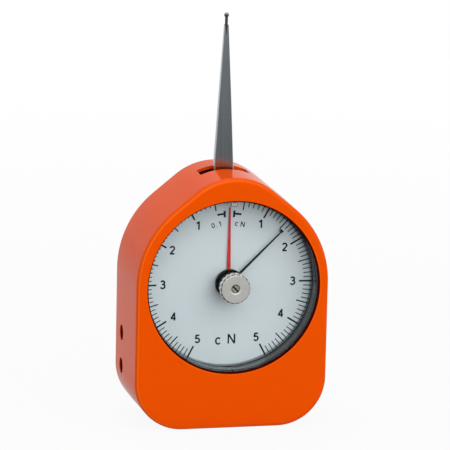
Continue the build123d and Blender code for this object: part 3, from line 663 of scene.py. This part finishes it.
def dressed_copy(name, node, bevel, material, body):
    """A piece that stands for a CAD node: its merged copy, with the sharp edges bevelled in mm."""
    bm = bmesh.new()
    bm.from_mesh(frame["nodes"][node].data)
    bmesh.ops.remove_doubles(bm, verts=bm.verts, dist=MERGED_WITHIN)
    bmesh.ops.dissolve_limit(bm, angle_limit=FLAT_WITHIN, verts=bm.verts, edges=bm.edges)
    host = link("copy", to_mesh(node, bm))
    edge = host.modifiers.new("edge", "BEVEL")
    edge.width = bevel * MM
    edge.segments = 2
    edge.limit_method = "ANGLE"
    edge.angle_limit = BEVELLED_FROM
    piece(name, baked(host), material, body, node)


def grown(name, build, sizes, material, plan):
    """The plain mesh of a geometry tree with named inputs for its sizes and its material.

    The build function adds the tree's own nodes. What it returns becomes mesh and takes the material.
    """
    kinds = {int: "Int", float: "Float", bpy.types.Material: "Material"}
    inputs = {**sizes, "Material": material}
    tree = bpy.data.node_groups.new(name, "GeometryNodeTree")
    tree.interface.new_socket("Geometry", in_out="INPUT", socket_type="NodeSocketGeometry")
    for label, value in inputs.items():
        kind = "NodeSocket" + kinds[type(value)]
        tree.interface.new_socket(label, in_out="INPUT", socket_type=kind)
    tree.interface.new_socket("Geometry", in_out="OUTPUT", socket_type="NodeSocketGeometry")
    g = Graph(tree)
    given = g.node("NodeGroupInput")
    real = g.node("GeometryNodeRealizeInstances", values={0: build(g, given)})
    values = {"Geometry": real, "Material": given.other("Material")}
    g.node("NodeGroupOutput", values={0: g.node("GeometryNodeSetMaterial", values=values)})
    host = link(name, plan)
    grow = host.modifiers.new("grow", "NODES")
    grow.node_group = tree
    for label, value in inputs.items():
        grow[tree.interface.items_tree[label].identifier] = value
    return baked(host)


def curve_plan(name, strokes, closed=False):
    """Curve of straight runs through each stroke's points."""
    plan = bpy.data.curves.new(name, "CURVE")
    plan.dimensions = "3D"
    for stroke in strokes:
        line = plan.splines.new("POLY")
        line.points.add(len(stroke) - 1)
        for point, spot in zip(line.points, stroke):
            point.co = (*spot, 1.0)
        line.use_cyclic_u = closed
    return plan


# ---- case ----

STAND_HOLES_Y = CASE_HIGH.y - 9.5 * MM
STAND_HOLES_Z = (DIAL_HEIGHT - 28.4 * MM, DIAL_HEIGHT - 18.0 * MM)
STAND_HOLE_RADIUS = 2.45 * MM
STAND_HOLE_DEPTH = 6.0 * MM
STAND_PAD = 1.6 * MM
SLOT_HALF_LENGTH = 7.7
SLOT_DEPTHS = (13.9, 20.3)
SLOT_RISES = (27.0, 40.0)
LEDGE_RADIUS = 21.0 * MM
BACK_CHAMFER = 0.2 * MM


def arc_points(centre, radius, start, end, steps):
    """Points and outward directions along an arc, start included and end left out."""
    found = []
    for step in range(steps):
        angle = start + (end - start) * step / steps
        outward = (cos(angle), sin(angle))
        found.append(((centre[0] + radius * outward[0], centre[1] + radius * outward[1]), outward))
    return found


def line_points(start, end, outward, steps):
    """Points and their common outward direction along a line, end left out."""
    return [((start[0] + (end[0] - start[0]) * step / steps,
              start[1] + (end[1] - start[1]) * step / steps), outward) for step in range(steps)]


def case_rim(looks):
    """The case's outline about the dial axis, as (point, outward direction), anticlockwise."""
    half = CASE_HIGH.x
    bottom = CASE_LOW.z - DIAL_HEIGHT
    corner = (half - looks.corner_radius, bottom + looks.corner_radius)
    shoulder = (0.0, looks.shoulder_rise)
    crown = (0.0, looks.crown_rise)
    flank = asin((half - looks.crown_radius) / (looks.crown_rise - looks.shoulder_rise))
    lean = (cos(flank), sin(flank))
    shoulder_end = (half * lean[0], shoulder[1] + half * lean[1])
    crown_start = (looks.crown_radius * lean[0], crown[1] + looks.crown_radius * lean[1])
    right = line_points((0, bottom), (corner[0], bottom), (0, -1), 12)
    right += arc_points(corner, looks.corner_radius, -pi / 2, 0, 40)
    right += line_points((half, corner[1]), (half, shoulder[1]), (1, 0), 20)
    right += arc_points(shoulder, half, 0, flank, 30)
    right += line_points(shoulder_end, crown_start, lean, 8)
    right += arc_points(crown, looks.crown_radius, flank, pi / 2, 26)
    top = [((0.0, crown[1] + looks.crown_radius), (0.0, 1.0))]
    left = [((-x, z), (-nx, nz)) for (x, z), (nx, nz) in reversed(right[1:])]
    return right + top + left


def rim_ring(rim, inset, depth):
    """The outline at a depth, moved inwards."""
    return [Vector((x - nx * inset, FRONT_Y + depth, DIAL_HEIGHT + z - nz * inset))
            for (x, z), (nx, nz) in rim]


def case_shell(looks):
    """The cast case with its lip, ledge and back opening, the arm's slot and the two stand holes."""
    rim = case_rim(looks)
    depth = CASE_HIGH.y - CASE_LOW.y
    edge, small, wall = looks.edge_round, looks.window_edge, looks.wall
    ledge, plate = DIAL_BACK * MM, turned_size("movement_plate")[0] * MM

    def outer_ring(inset, back):
        """The outline at a depth, drawn in by the draft too."""
        share = max(0.0, 1 - back / looks.draft_depth)
        drawn = []
        for (x, z), (nx, nz) in rim:
            lean = share * (looks.side_draft + looks.crown_draft * max(nz, 0.0))
            drawn.append(((x - nx * lean, z - nz * lean), (nx, nz)))
        return rim_ring(drawn, inset, back)

    def round_ring(radius, back):
        """Circle round the dial axis whose points face the outline's points."""
        angles = [atan2(z, x) for (x, z), _ in rim]
        return [Vector((radius * cos(a), FRONT_Y + back, DIAL_HEIGHT + radius * sin(a))) for a in angles]

    lip = looks.lip_radius
    rings = [round_ring(lip + small * (1 - cos(a)), small * (1 - sin(a))) for a in QUARTER]
    rings += [outer_ring(edge * 1.6, 0.0)]
    rings += [outer_ring(edge * (1 - sin(a)), edge * (1 - cos(a))) for a in QUARTER]
    rings += [outer_ring(0.0, edge + (depth - 2 * edge) * step / 6) for step in range(1, 6)]
    rings += [outer_ring(edge * (1 - cos(a)), depth - edge * (1 - sin(a))) for a in QUARTER]
    rings += [rim_ring(rim, wall - BACK_CHAMFER, depth), rim_ring(rim, wall, depth - BACK_CHAMFER)]
    rings += [rim_ring(rim, wall, plate), round_ring(LEDGE_RADIUS, plate), round_ring(LEDGE_RADIUS, ledge)]
    rings += [round_ring(looks.window_radius, ledge), round_ring(looks.window_radius, looks.lip_depth)]
    rings += [round_ring(lip, looks.lip_depth)]
    reach = Vector((0, STAND_HOLE_RADIUS + STAND_PAD, STAND_HOLE_RADIUS + STAND_PAD))
    inner_x = CASE_LOW.x + STAND_HOLE_DEPTH + STAND_PAD
    pad = block(Vector((CASE_LOW.x + wall / 2, STAND_HOLES_Y, STAND_HOLES_Z[0])) - reach,
                Vector((inner_x, STAND_HOLES_Y, STAND_HOLES_Z[1])) + reach)
    slot = block(at(SLOT_DEPTHS[0], -SLOT_HALF_LENGTH, SLOT_RISES[0]),
                 at(SLOT_DEPTHS[1], SLOT_HALF_LENGTH, SLOT_RISES[1]))
    holes = [peg(Vector((CASE_LOW.x - wall, STAND_HOLES_Y, z)), STAND_HOLE_RADIUS, STAND_HOLE_DEPTH + wall)
             for z in STAND_HOLES_Z]
    return carved(carved(rings_mesh("case_shell", rings), [pad], "UNION"), [slot, *holes])


class GAUGE_OT_case(bpy.types.Operator):
    """Build the painted case, its back cover and the cover's screws"""

    bl_idname = "gauge.case"
    bl_label = "Case"

    def execute(self, context):
        looks = context.scene.gauge_case
        piece("case_shell", case_shell(looks), case_finish(looks), "case", "housing")
        dressed_copy("back_cover_plate", "back_cover", 0.15, cover_finish(looks.paint), "case")
        dressed_copy("cover_screw_heads", "cover_screws", 0.06, cover_screw_finish((0.5, 0.51, 0.52)),
                     "case")
        return {"FINISHED"}


# ---- window ----

KEY_ROOM, SPINDLE_ROOM = 0.03, 1.5  # how much wider the crystal's notch and hole are, in mm
RING_EDGE = 0.08


def crystal_mesh(looks):
    """Clear cup: flat face, rounded shoulder, side wall and a thin foot, notched for the key."""
    front, foot_back, foot_radius = turned_size("crystal")
    foot_front = turned_size("crystal_ring")[1]
    hole = turned_size("knob_spindle")[2] + SPINDLE_ROOM
    radius, thickness = looks.crystal_radius / MM, looks.crystal_thickness / MM
    wall, shoulder = looks.crystal_wall / MM, looks.crystal_round / MM
    inner, back = shoulder / 3, front + thickness
    stations = [(front, hole)]
    stations += [(front + shoulder * (1 - cos(a)), radius - shoulder * (1 - sin(a))) for a in QUARTER]
    stations += [(foot_front, radius), (foot_front, foot_radius), (foot_back, foot_radius)]
    stations += [(foot_back, radius - wall)]
    stations += [(back + inner * (1 - sin(a)), radius - wall - inner * (1 - cos(a))) for a in QUARTER]
    stations += [(back, hole)]
    low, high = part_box("crystal_key")
    room = Vector((KEY_ROOM, KEY_ROOM, KEY_ROOM)) * MM
    notch = block(Vector((low.x, FRONT_Y, low.z)) - room, Vector((high.x, high.y, high.z + 2 * MM)) + room)
    return carved(turned_mesh("window_crystal", stations, 256), [notch])


def ring_mesh(looks):
    """Split band let in between the crystal and the case, with its edges broken."""
    front, back, outer = turned_size("crystal_ring")
    inner = outer - looks.ring_thickness / MM
    edge = RING_EDGE
    stations = [(front + edge, outer), (front, outer - edge), (front, inner + edge), (front + edge, inner),
                (back - edge, inner), (back, inner + edge), (back, outer - edge), (back - edge, outer)]
    return turned_mesh("window_ring", stations, 224, 2 * asin(looks.ring_gap / MM / 2 / outer))


class GAUGE_OT_window(bpy.types.Operator):
    """Build the clear crystal, its split ring and its key"""

    bl_idname = "gauge.window"
    bl_label = "Window"

    def execute(self, context):
        looks = context.scene.gauge_window
        piece("window_crystal", crystal_mesh(looks), clear_plastic(looks), "case", "crystal")
        piece("window_ring", ring_mesh(looks), ring_finish(looks), "case",
              "crystal_ring")
        dressed_copy("window_key", "crystal_key", 0.12, key_finish(looks), "case")
        return {"FINISHED"}


# ---- dial ----

DIAL_HOLE = 1.6
DIAL_EDGE = 0.05
INK_THICKNESS = 0.02
ARC_STEPS = 14


def bend(centre_x, centre_y, reach_x, reach_y, start, end):
    """Points along part of an ellipse, angles in degrees."""
    angles = [radians(start + (end - start) * step / ARC_STEPS) for step in range(ARC_STEPS + 1)]
    return [(centre_x + reach_x * cos(a), centre_y + reach_y * sin(a)) for a in angles]


GLYPHS = {  # width and strokes of each sign, in heights of a capital letter
    "0": (0.60, [bend(0.30, 0.5, 0.24, 0.43, 90, 450)]),
    "1": (0.46, [[(0.36, 0.0), (0.36, 1.0)], [(0.08, 0.74), (0.38, 0.93)]]),
    "2": (0.62, [bend(0.31, 0.70, 0.25, 0.245, 165, -32), [(0.525, 0.585), (0.07, 0.07)],
                 [(0.02, 0.07), (0.58, 0.07)]]),
    "3": (0.60, [bend(0.30, 0.735, 0.22, 0.21, 155, -90), bend(0.30, 0.29, 0.26, 0.24, 90, -160),
                 [(0.22, 0.53), (0.31, 0.53)]]),
    "4": (0.64, [[(0.45, 0.0), (0.45, 1.0)], [(0.47, 0.97), (0.05, 0.27)], [(0.02, 0.27), (0.62, 0.27)]]),
    "5": (0.60, [[(0.13, 0.93), (0.55, 0.93)], [(0.16, 0.97), (0.11, 0.47)],
                 bend(0.30, 0.32, 0.255, 0.265, 142, -155)]),
    "c": (0.62, [bend(0.33, 0.36, 0.25, 0.32, 42, 318)]),
    "N": (0.80, [[(0.08, 0.0), (0.08, 1.0)], [(0.08, 0.99), (0.72, 0.01)], [(0.72, 0.0), (0.72, 1.0)]]),
    ".": (0.16, [[(0.08, 0.0), (0.08, 0.13)]]),
}
NUMERALS = (("1", 28.7, 20.25), ("2", 59.5, 20.35), ("3", 90.8, 20.3), ("4", 121.5, 19.7),
            ("5", 152.3, 19.8))  # sign, turn from zero and radius
UNIT_SIGNS = (("c", -2.7, -18.0), ("N", 1.5, -17.85))  # sign, place across and rise
SMALL_SIGNS = (("0.1", -12.75, 0.51), ("cN", 10.55, 0.8))  # text, turn and gap between letters
SMALL_SIGN_RADIUS = 18.25

TICK_WIDTH, FIFTH_WIDER, TENTH_WIDER = 0.29 * MM, 0.08 * MM, 0.15 * MM
FIRST_TICK = 4.5  # ticks nearer to zero than this are left out
TICK_SIZES = ("ticks_each_way", "full_scale", "tick_step", "tick_growth", "zero_squeeze", "tick_outer",
              "long_tick", "half_tick", "short_tick")
BAR_TURN, BAR_RADII, BAR_HALF_WIDTH = radians(4.0), (20.1, 22.15), 0.34
STEM_TURNS, STEM_RADII, STEM_STEPS = (radians(4.4), radians(10.2)), (20.9, 21.5), 6


def lettering_plan(words):
    """Curve of every stroke, from (text, x, rise, height, gap between letters, turn) in mm."""
    strokes = []
    for text, centre_x, centre_rise, height, gap, turned in words:
        width = sum(GLYPHS[sign][0] for sign in text) * height + gap * (len(text) - 1)
        place = Matrix.Translation((centre_x, centre_rise, 0)) @ Matrix.Rotation(-turned, 4, "Z")
        left = -width / 2
        for sign in text:
            sign_width, lines = GLYPHS[sign]
            strokes += [[place @ Vector((left + x * height, (y - 0.5) * height, 0)) * MM for x, y in line]
                        for line in lines]
            left += sign_width * height + gap
    return curve_plan("lettering_plan", strokes)


def ink_strokes(g, given):
    """Sweeps a flat ribbon of ink along every stroke of a plan that lies in XY."""
    lying = g.node("GeometryNodeSetCurveNormal", {"mode": "Z_UP"}, {0: given})
    nib = g.node("GeometryNodeCurvePrimitiveQuadrilateral",
                 values={"Width": given.other("width"), "Height": given.other("thickness")})
    return g.node("GeometryNodeCurveToMesh", values={0: lying, 1: nib, "Fill Caps": True})


def tick_marks(g, given):
    """Ticks round the dial: every fifth is longer, every tenth longest, and none next to zero."""
    each_way, short, half = (given.other(name) for name in ("ticks_each_way", "short_tick", "half_tick"))
    number = g.node("GeometryNodeInputIndex") - each_way
    count = abs(number)
    tenth, fifth = (number % 10) < 0.5, (number % 5) < 0.5
    size = short + fifth * (half - short) + tenth * (given.other("long_tick") - half)
    width = TICK_WIDTH + FIFTH_WIDER * fifth + TENTH_WIDER * tenth
    from_end = each_way - count
    step = given.other("tick_step") + given.other("tick_growth") * from_end
    squeeze = given.other("zero_squeeze") * (10 - count).larger(0.0)
    angle = (given.other("full_scale") - from_end * step - squeeze) * number.sign()
    middle = given.other("tick_outer") - size / 2
    place = g.join(middle * angle.sine(), 0.0, middle * angle.cosine())
    dots = g.node("GeometryNodePoints", values={"Count": 2 * each_way + 1, "Position": place})
    stick = g.node("GeometryNodeMeshCube", values={"Size": (1, 1, 1)})
    return g.node("GeometryNodeInstanceOnPoints", values={
        "Points": dots, "Selection": count > FIRST_TICK, "Instance": stick,
        "Rotation": g.join(0.0, angle, 0.0), "Scale": g.join(width, given.other("thickness"), size)})


def stop_marks_mesh():
    """The two marks beside zero: a short bar across and a curved stem that leads away from it."""
    bm = bmesh.new()
    for side in (-1, 1):
        turned = side * BAR_TURN
        across = Vector((cos(turned), -sin(turned))) * BAR_HALF_WIDTH
        bar = [[Vector(polar(r, turned)) + across * way for r in BAR_RADII] for way in (-1, 1)]
        start, end = STEM_TURNS
        angles = [side * (start + (end - start) * step / STEM_STEPS) for step in range(STEM_STEPS + 1)]
        stem = [[polar(r, a) for r in STEM_RADII] for a in angles]
        top = DIAL_DEPTH - INK_THICKNESS
        for sides in (bar, stem):
            rings = [[at(DIAL_DEPTH, *near), at(DIAL_DEPTH, *far), at(top, *far), at(top, *near)]
                     for near, far in sides]
            bm.from_mesh(rings_mesh("mark", rings, capped=True))
    return to_mesh("dial_stop_marks", bm)


class GAUGE_OT_dial(bpy.types.Operator):
    """Build the dial with its ticks, numerals and marks"""

    bl_idname = "gauge.dial"
    bl_label = "Dial"

    def execute(self, context):
        looks = context.scene.gauge_dial
        plate = [(DIAL_DEPTH, DIAL_HOLE), (DIAL_DEPTH, DIAL_RADIUS - DIAL_EDGE),
                 (DIAL_DEPTH + DIAL_EDGE, DIAL_RADIUS), (DIAL_BACK, DIAL_RADIUS), (DIAL_BACK, DIAL_HOLE)]
        piece("dial_face", turned_mesh("dial_face", plate, 256), dial_finish(looks.face), "case",
              "dial_plate")
        ink = mottled("dial_ink", looks.ink, (1.0, 2.2), 0.12, 2, (0.5, 0.2), gloss=0.1)
        thickness = 2 * INK_THICKNESS * MM
        sizes = {label: getattr(looks, label) for label in TICK_SIZES}
        ticks = grown("dial_ticks", tick_marks, {**sizes, "thickness": thickness}, ink,
                      bpy.data.meshes.new("ticks_plan"))
        ticks.transform(Matrix.Translation(at(DIAL_DEPTH)))
        piece("dial_ticks", ticks, ink, "case")
        height, small_height = looks.numeral_height / MM, looks.small_height / MM
        words = [(sign, *polar(radius, side * radians(angle)), height, 0.0, 0.0)
                 for sign, angle, radius in NUMERALS for side in (-1, 1)]
        words += [(sign, x, rise, looks.unit_height / MM, 0.0, 0.0) for sign, x, rise in UNIT_SIGNS]
        small = [(text, *polar(SMALL_SIGN_RADIUS, radians(angle)), small_height, gap, radians(angle))
                 for text, angle, gap in SMALL_SIGNS]
        for name, signs, stroke in (("dial_numerals", words, looks.stroke),
                                    ("dial_small_signs", small, looks.small_stroke)):
            mesh = grown(name, ink_strokes, {"width": stroke, "thickness": thickness}, ink,
                         lettering_plan(signs))
            mesh.transform(facing_front(DIAL_DEPTH))
            piece(name, mesh, ink, "case")
        piece("dial_stop_marks", stop_marks_mesh(), ink, "case")
        return {"FINISHED"}


# ---- hands ----


class GAUGE_OT_hands(bpy.types.Operator):
    """Build the red pointer and the black drag pointer"""

    bl_idname = "gauge.hands"
    bl_label = "Hands"

    def execute(self, context):
        looks = context.scene.gauge_hands
        red, black = lacquer("red_lacquer", looks.red), lacquer("black_lacquer", looks.black)
        dressed_copy("red_pointer", "main_pointer", 0.05, red, "pointer")
        dressed_copy("drag_hand", "drag_pointer", 0.04, black, "drag")
        return {"FINISHED"}


# ---- knob ----

KNOB_STEPS = 360
KNOB_SOFT = 0.05
KNOB_SIZES = ("flutes", "flute_depth", "flute_width")
RAIL = 1.0  # radius of the circle that the profile runs along, taken off again afterwards
FLUTE_FADE = (0.55 * MM, 0.25 * MM)  # how far inside the rim a flute starts, and over what it deepens


def knob_profile(looks):
    """Closed profile of the knob as (depth, radius), from the recess round to the back."""
    front, back, radius = turned_size("reset_knob")
    spindle_end, _, bore = turned_size("knob_spindle")
    shank = bore / 2
    floor = front + looks.recess_depth / MM
    recess, bevel, edge = looks.recess_radius / MM, looks.recess_bevel / MM, looks.edge / MM
    soft = KNOB_SOFT
    return [(floor, shank), (floor, recess), (front + bevel, recess), (front, recess + bevel),
            (front, radius - edge - soft), (front + soft, radius - edge), (front + edge, radius - soft),
            (front + edge + soft, radius), (front + edge + 3 * soft, radius),
            (back - edge - 3 * soft, radius), (back - edge - soft, radius), (back - edge, radius - soft),
            (back - soft, radius - edge), (back, radius - edge - soft), (back, bore),
            (spindle_end, bore), (spindle_end, shank)]


def fluted(g, given):
    """Turns a profile round the axis and presses flutes into whatever lies near the rim."""
    radius = given.other("radius")
    rail = g.node("GeometryNodeCurvePrimitiveCircle", values={"Resolution": KNOB_STEPS, "Radius": RAIL})
    turned = g.node("GeometryNodeCurveToMesh", values={0: rail, 1: given})
    x, y, z = g.split(g.node("GeometryNodeInputPosition"))
    away = span(x, y)
    reach = away - RAIL
    pitch = tau / given.other("flutes")
    along_rim = abs(y.arctan(x) % pitch - pitch / 2) * radius
    dip = 1 - (along_rim / (given.other("flute_width") / 2)) ** 2
    near_rim = g.clamp((reach - radius + FLUTE_FADE[0]) / FLUTE_FADE[1])
    pressed = reach - dip.larger(0.0) * near_rim * given.other("flute_depth")
    place = g.join(pressed * x / away, pressed * y / away, z)
    return g.node("GeometryNodeSetPosition", values={"Geometry": turned, "Position": place})


def knob_mesh(looks, metal):
    """The knob's mesh, turned to face the front."""
    profile = [(radius * MM, depth * MM, 0.0) for depth, radius in knob_profile(looks)]
    sizes = {label: getattr(looks, label) for label in KNOB_SIZES}
    mesh = grown("knob", fluted, {"radius": turned_size("reset_knob")[2] * MM, **sizes}, metal,
                 curve_plan("knob_plan", [profile], closed=True))
    bm = bmesh.new()
    bm.from_mesh(mesh)
    bmesh.ops.remove_doubles(bm, verts=bm.verts, dist=MERGED_WITHIN)
    mesh = to_mesh("knob", bm)
    mesh.transform(facing_front(0.0))
    return mesh


class GAUGE_OT_knob(bpy.types.Operator):
    """Build the fluted knob, its screw and the two black collars"""

    bl_idname = "gauge.knob"
    bl_label = "Knob"

    def execute(self, context):
        looks = context.scene.gauge_knob
        metal = knob_finish(looks)
        piece("reset_knob_body", knob_mesh(looks, metal), metal, "drag", "reset_knob")
        dressed_copy("knob_slotted_screw", "knob_screw", 0.07, knob_screw_finish(), "drag")
        black = moulded("black_plastic", (0.006, 0.006, 0.006), 0.1)
        dressed_copy("drag_collar", "drag_hub", 0.1, black, "drag")
        dressed_copy("crystal_bushing", "knob_bushing", 0.1, black, "case")
        return {"FINISHED"}


# ---- arm ----


class GAUGE_OT_arm(bpy.types.Operator):
    """Build the tapered feeler arm and its ball"""

    bl_idname = "gauge.arm"
    bl_label = "Feeler arm"

    def execute(self, context):
        looks = context.scene.gauge_arm
        dressed_copy("arm_blade", "feeler_arm", 0.04, arm_finish(looks), "lever")
        bm = bmesh.new()
        low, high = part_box("feeler_ball")
        radius = (high.x - low.x) / 2
        bmesh.ops.create_icosphere(bm, subdivisions=4, radius=radius)
        bmesh.ops.translate(bm, vec=Vector((0, (low.y + high.y) / 2, high.z - radius)), verts=bm.verts)
        blackened = soft_metal("blackened_steel", looks.ball, 0.1, 0.2)
        piece("arm_ball", to_mesh("arm_ball", bm), blackened, "lever", "feeler_ball")
        return {"FINISHED"}


# ---- movement ----


class GAUGE_OT_movement(bpy.types.Operator):
    """Give every part of the movement its metal"""

    bl_idname = "gauge.movement"
    bl_label = "Movement"

    def execute(self, context):
        parts = {
            brass_finish((0.66, 0.44, 0.17)): (
                "movement_plate", "bridge", "bridge_pillars", "sector_gear", "balance_weight",
                "measuring_collet", "backlash_collet", "pointer_hub"),
            soft_metal("screw_steel", (0.46, 0.46, 0.46), 0.22): (
                "measuring_stud", "backlash_stud", "plate_screws", "bridge_screws", "arm_screws",
                "stop_pins", "lever_arbor", "pinion_staff", "knob_spindle"),
            soft_metal("spring_steel", (0.14, 0.16, 0.22), 0.18, 0.4): (
                "measuring_spring", "backlash_spring"),
            soft_metal("bronze", (0.50, 0.27, 0.12), 0.3): ("lever_bearings",),
            mottled("ruby", (0.32, 0.003, 0.02), (0.8, 1.2), 0.5, 2, (0.08, 0.05), coat=0.5): (
                "pinion_bearings",),
            moulded("washer_plastic", (0.02, 0.02, 0.02), 0.2): ("friction_washer",),
        }
        for material, nodes in parts.items():
            for node in nodes:
                mesh = frame["nodes"][node].data
                mesh.materials.clear()
                mesh.materials.append(material)
        return {"FINISHED"}


# ---- stage ----

FLOOR_NEAR = 0.93  # share of plain white in the floor close to the gauge
FLOOR_FAR = (0.15, 0.45)  # where the floor starts to turn plain white, and over what distance
MIRRORED_BEHIND = (0.76, 0.76, 0.76)  # the floor behind the gauge as gloss shows it
MIRRORED_AHEAD, MIRRORED_GAIN = 0.12, 0.22  # its level in front of the gauge, and its rise further out
SKY_STRENGTH, SKY_GLOSS, SKY_PATCH = 0.5, 0.7, 0.04
MIDDLE = (0.0, 0.0, 0.06)
LAMPS = (  # name, place, width, height, power, and whether gloss shows it
    ("key_lamp", (0.3, -1.0, 1.05), 1.8, 0.9, 7.0, True),
    ("fill_lamp", (0.15, -1.35, 0.3), 0.9, 0.7, 5.3, False),
    ("top_lamp", (-0.1, 0.15, 1.3), 0.7, 0.7, 5.0, True),
)
AIM = Vector((-3.17 * MM, FRONT_Y, 63.66 * MM))


def floor_finish(looks):
    """Pale matt floor that turns to plain white away from the gauge, and is calmer in reflections."""
    f = Finish("floor")
    x, y, _ = f.split(f.place)
    away = span(x, y)
    mottle = f.grain(30)
    lit = f.principled({
        "Base Color": f.toned(mottle, looks.floor, 0.99, 1.01),
        "Roughness": 0.8, "Specular IOR Level": 0.1})
    white = f.node("ShaderNodeEmission", values={"Color": (1, 1, 1, 1), "Strength": 1.0})
    ahead = MIRRORED_AHEAD + MIRRORED_GAIN * f.clamp((away - 0.3) / 0.5)
    level = f.mix(f.clamp(0.5 - y / 0.12), MIRRORED_BEHIND, f.join(ahead, ahead, ahead))
    mirrored = f.node("ShaderNodeEmission", values={"Color": level, "Strength": 1.0})
    path = f.node("ShaderNodeLightPath")
    seen = f.clamp(path + path.other("Is Transmission Ray"))
    share = seen * (FLOOR_NEAR + (1 - FLOOR_NEAR) * f.clamp((away - FLOOR_FAR[0]) / FLOOR_FAR[1]))
    return f.output(f.blended(path.other("Is Glossy Ray"), f.blended(share, lit, white), mirrored))


def sky():
    """Even grey daylight that the camera sees as white, with a dark patch in front for the gloss."""
    world = bpy.data.worlds.new("sky")
    bpy.context.scene.world = world
    world.use_nodes = True
    world.node_tree.nodes.clear()
    g = Graph(world.node_tree)
    dim, bright, dark = (
        g.node("ShaderNodeBackground", values={"Color": (1, 1, 1, 1), "Strength": strength})
        for strength in (SKY_STRENGTH, 1.0, SKY_PATCH))
    path = g.node("ShaderNodeLightPath")
    glossy = path.other("Is Glossy Ray")
    share = g.clamp(path + path.other("Is Transmission Ray")) + glossy * SKY_GLOSS
    ahead = g.split(g.node("ShaderNodeTexCoord", output="Generated"))[1]
    patch = g.clamp((-ahead - 0.75) / 0.15) * glossy
    whole = g.blended(patch, g.blended(share, dim, bright), dark)
    g.node("ShaderNodeOutputWorld", values={"Surface": whole})


def lamp(name, place, width, height, power, mirrored):
    """Soft lamp that faces the gauge; the camera doesn't see it, and gloss shows it only if mirrored."""
    data = bpy.data.lights.new(name, "AREA")
    data.shape = "RECTANGLE"
    data.size = width
    data.size_y = height
    data.energy = power
    made = link(name, data)
    made.location = place
    made.rotation_euler = (Vector(MIDDLE) - Vector(place)).to_track_quat("-Z", "Y").to_euler()
    made.visible_camera = False
    made.visible_glossy = mirrored


class GAUGE_OT_stage(bpy.types.Operator):
    """Set the floor, the light and the camera"""

    bl_idname = "gauge.stage"
    bl_label = "Stage"

    def execute(self, context):
        looks = context.scene.gauge_stage
        bm = bmesh.new()
        bmesh.ops.create_grid(bm, x_segments=8, y_segments=8, size=6.0)
        floor = link("floor", to_mesh("floor", bm))
        floor.data.materials.append(floor_finish(looks))
        sky()
        for row in LAMPS:
            lamp(*row)
        data = bpy.data.cameras.new("camera")
        data.sensor_width = 36.0
        data.lens = looks.lens
        data.clip_start = 0.05
        data.clip_end = 20.0
        camera = link("camera", data)
        tilt = Matrix.Rotation(looks.azimuth, 4, "Z") @ Matrix.Rotation(pi / 2 - looks.elevation, 4, "X")
        place = Matrix.Translation(AIM + tilt @ Vector((0, 0, looks.distance)))
        camera.matrix_world = place @ tilt @ Matrix.Rotation(looks.roll, 4, "Z")
        context.scene.camera = camera
        context.scene.view_settings.view_transform = "Standard"
        return {"FINISHED"}


# ---- add-on ----


class GAUGE_PT_panel(bpy.types.Panel):
    """Buttons that build the gauge, one group of pieces at a time"""

    bl_idname = "GAUGE_PT_panel"
    bl_label = "Dial force gauge"
    bl_space_type = "VIEW_3D"
    bl_region_type = "UI"
    bl_category = "Gauge"

    def draw(self, context):
        for operator in BUILD_ORDER:
            self.layout.operator(operator.bl_idname)


LOOKS = {
    "gauge_case": CaseLooks, "gauge_window": WindowLooks, "gauge_dial": DialLooks,
    "gauge_hands": HandLooks, "gauge_knob": KnobLooks, "gauge_arm": ArmLooks, "gauge_stage": StageLooks,
}
BUILD_ORDER = (GAUGE_OT_case, GAUGE_OT_window, GAUGE_OT_dial, GAUGE_OT_hands, GAUGE_OT_knob,
               GAUGE_OT_arm, GAUGE_OT_movement, GAUGE_OT_stage)
CLASSES = (*LOOKS.values(), *BUILD_ORDER, GAUGE_PT_panel)


def register():
    for made in CLASSES:
        bpy.utils.register_class(made)
    for name, group in LOOKS.items():
        setattr(bpy.types.Scene, name, PointerProperty(type=group))


def unregister():
    for name in LOOKS:
        delattr(bpy.types.Scene, name)
    for made in reversed(CLASSES):
        bpy.utils.unregister_class(made)


def main():
    for start in list(bpy.data.objects):
        if start.name in {"Cube", "Light", "Camera"}:
            bpy.data.objects.remove(start)
    register()
    for operator in BUILD_ORDER:
        family, name = operator.bl_idname.split(".")
        getattr(getattr(bpy.ops, family), name)()


if __name__ == "__main__":
    main()
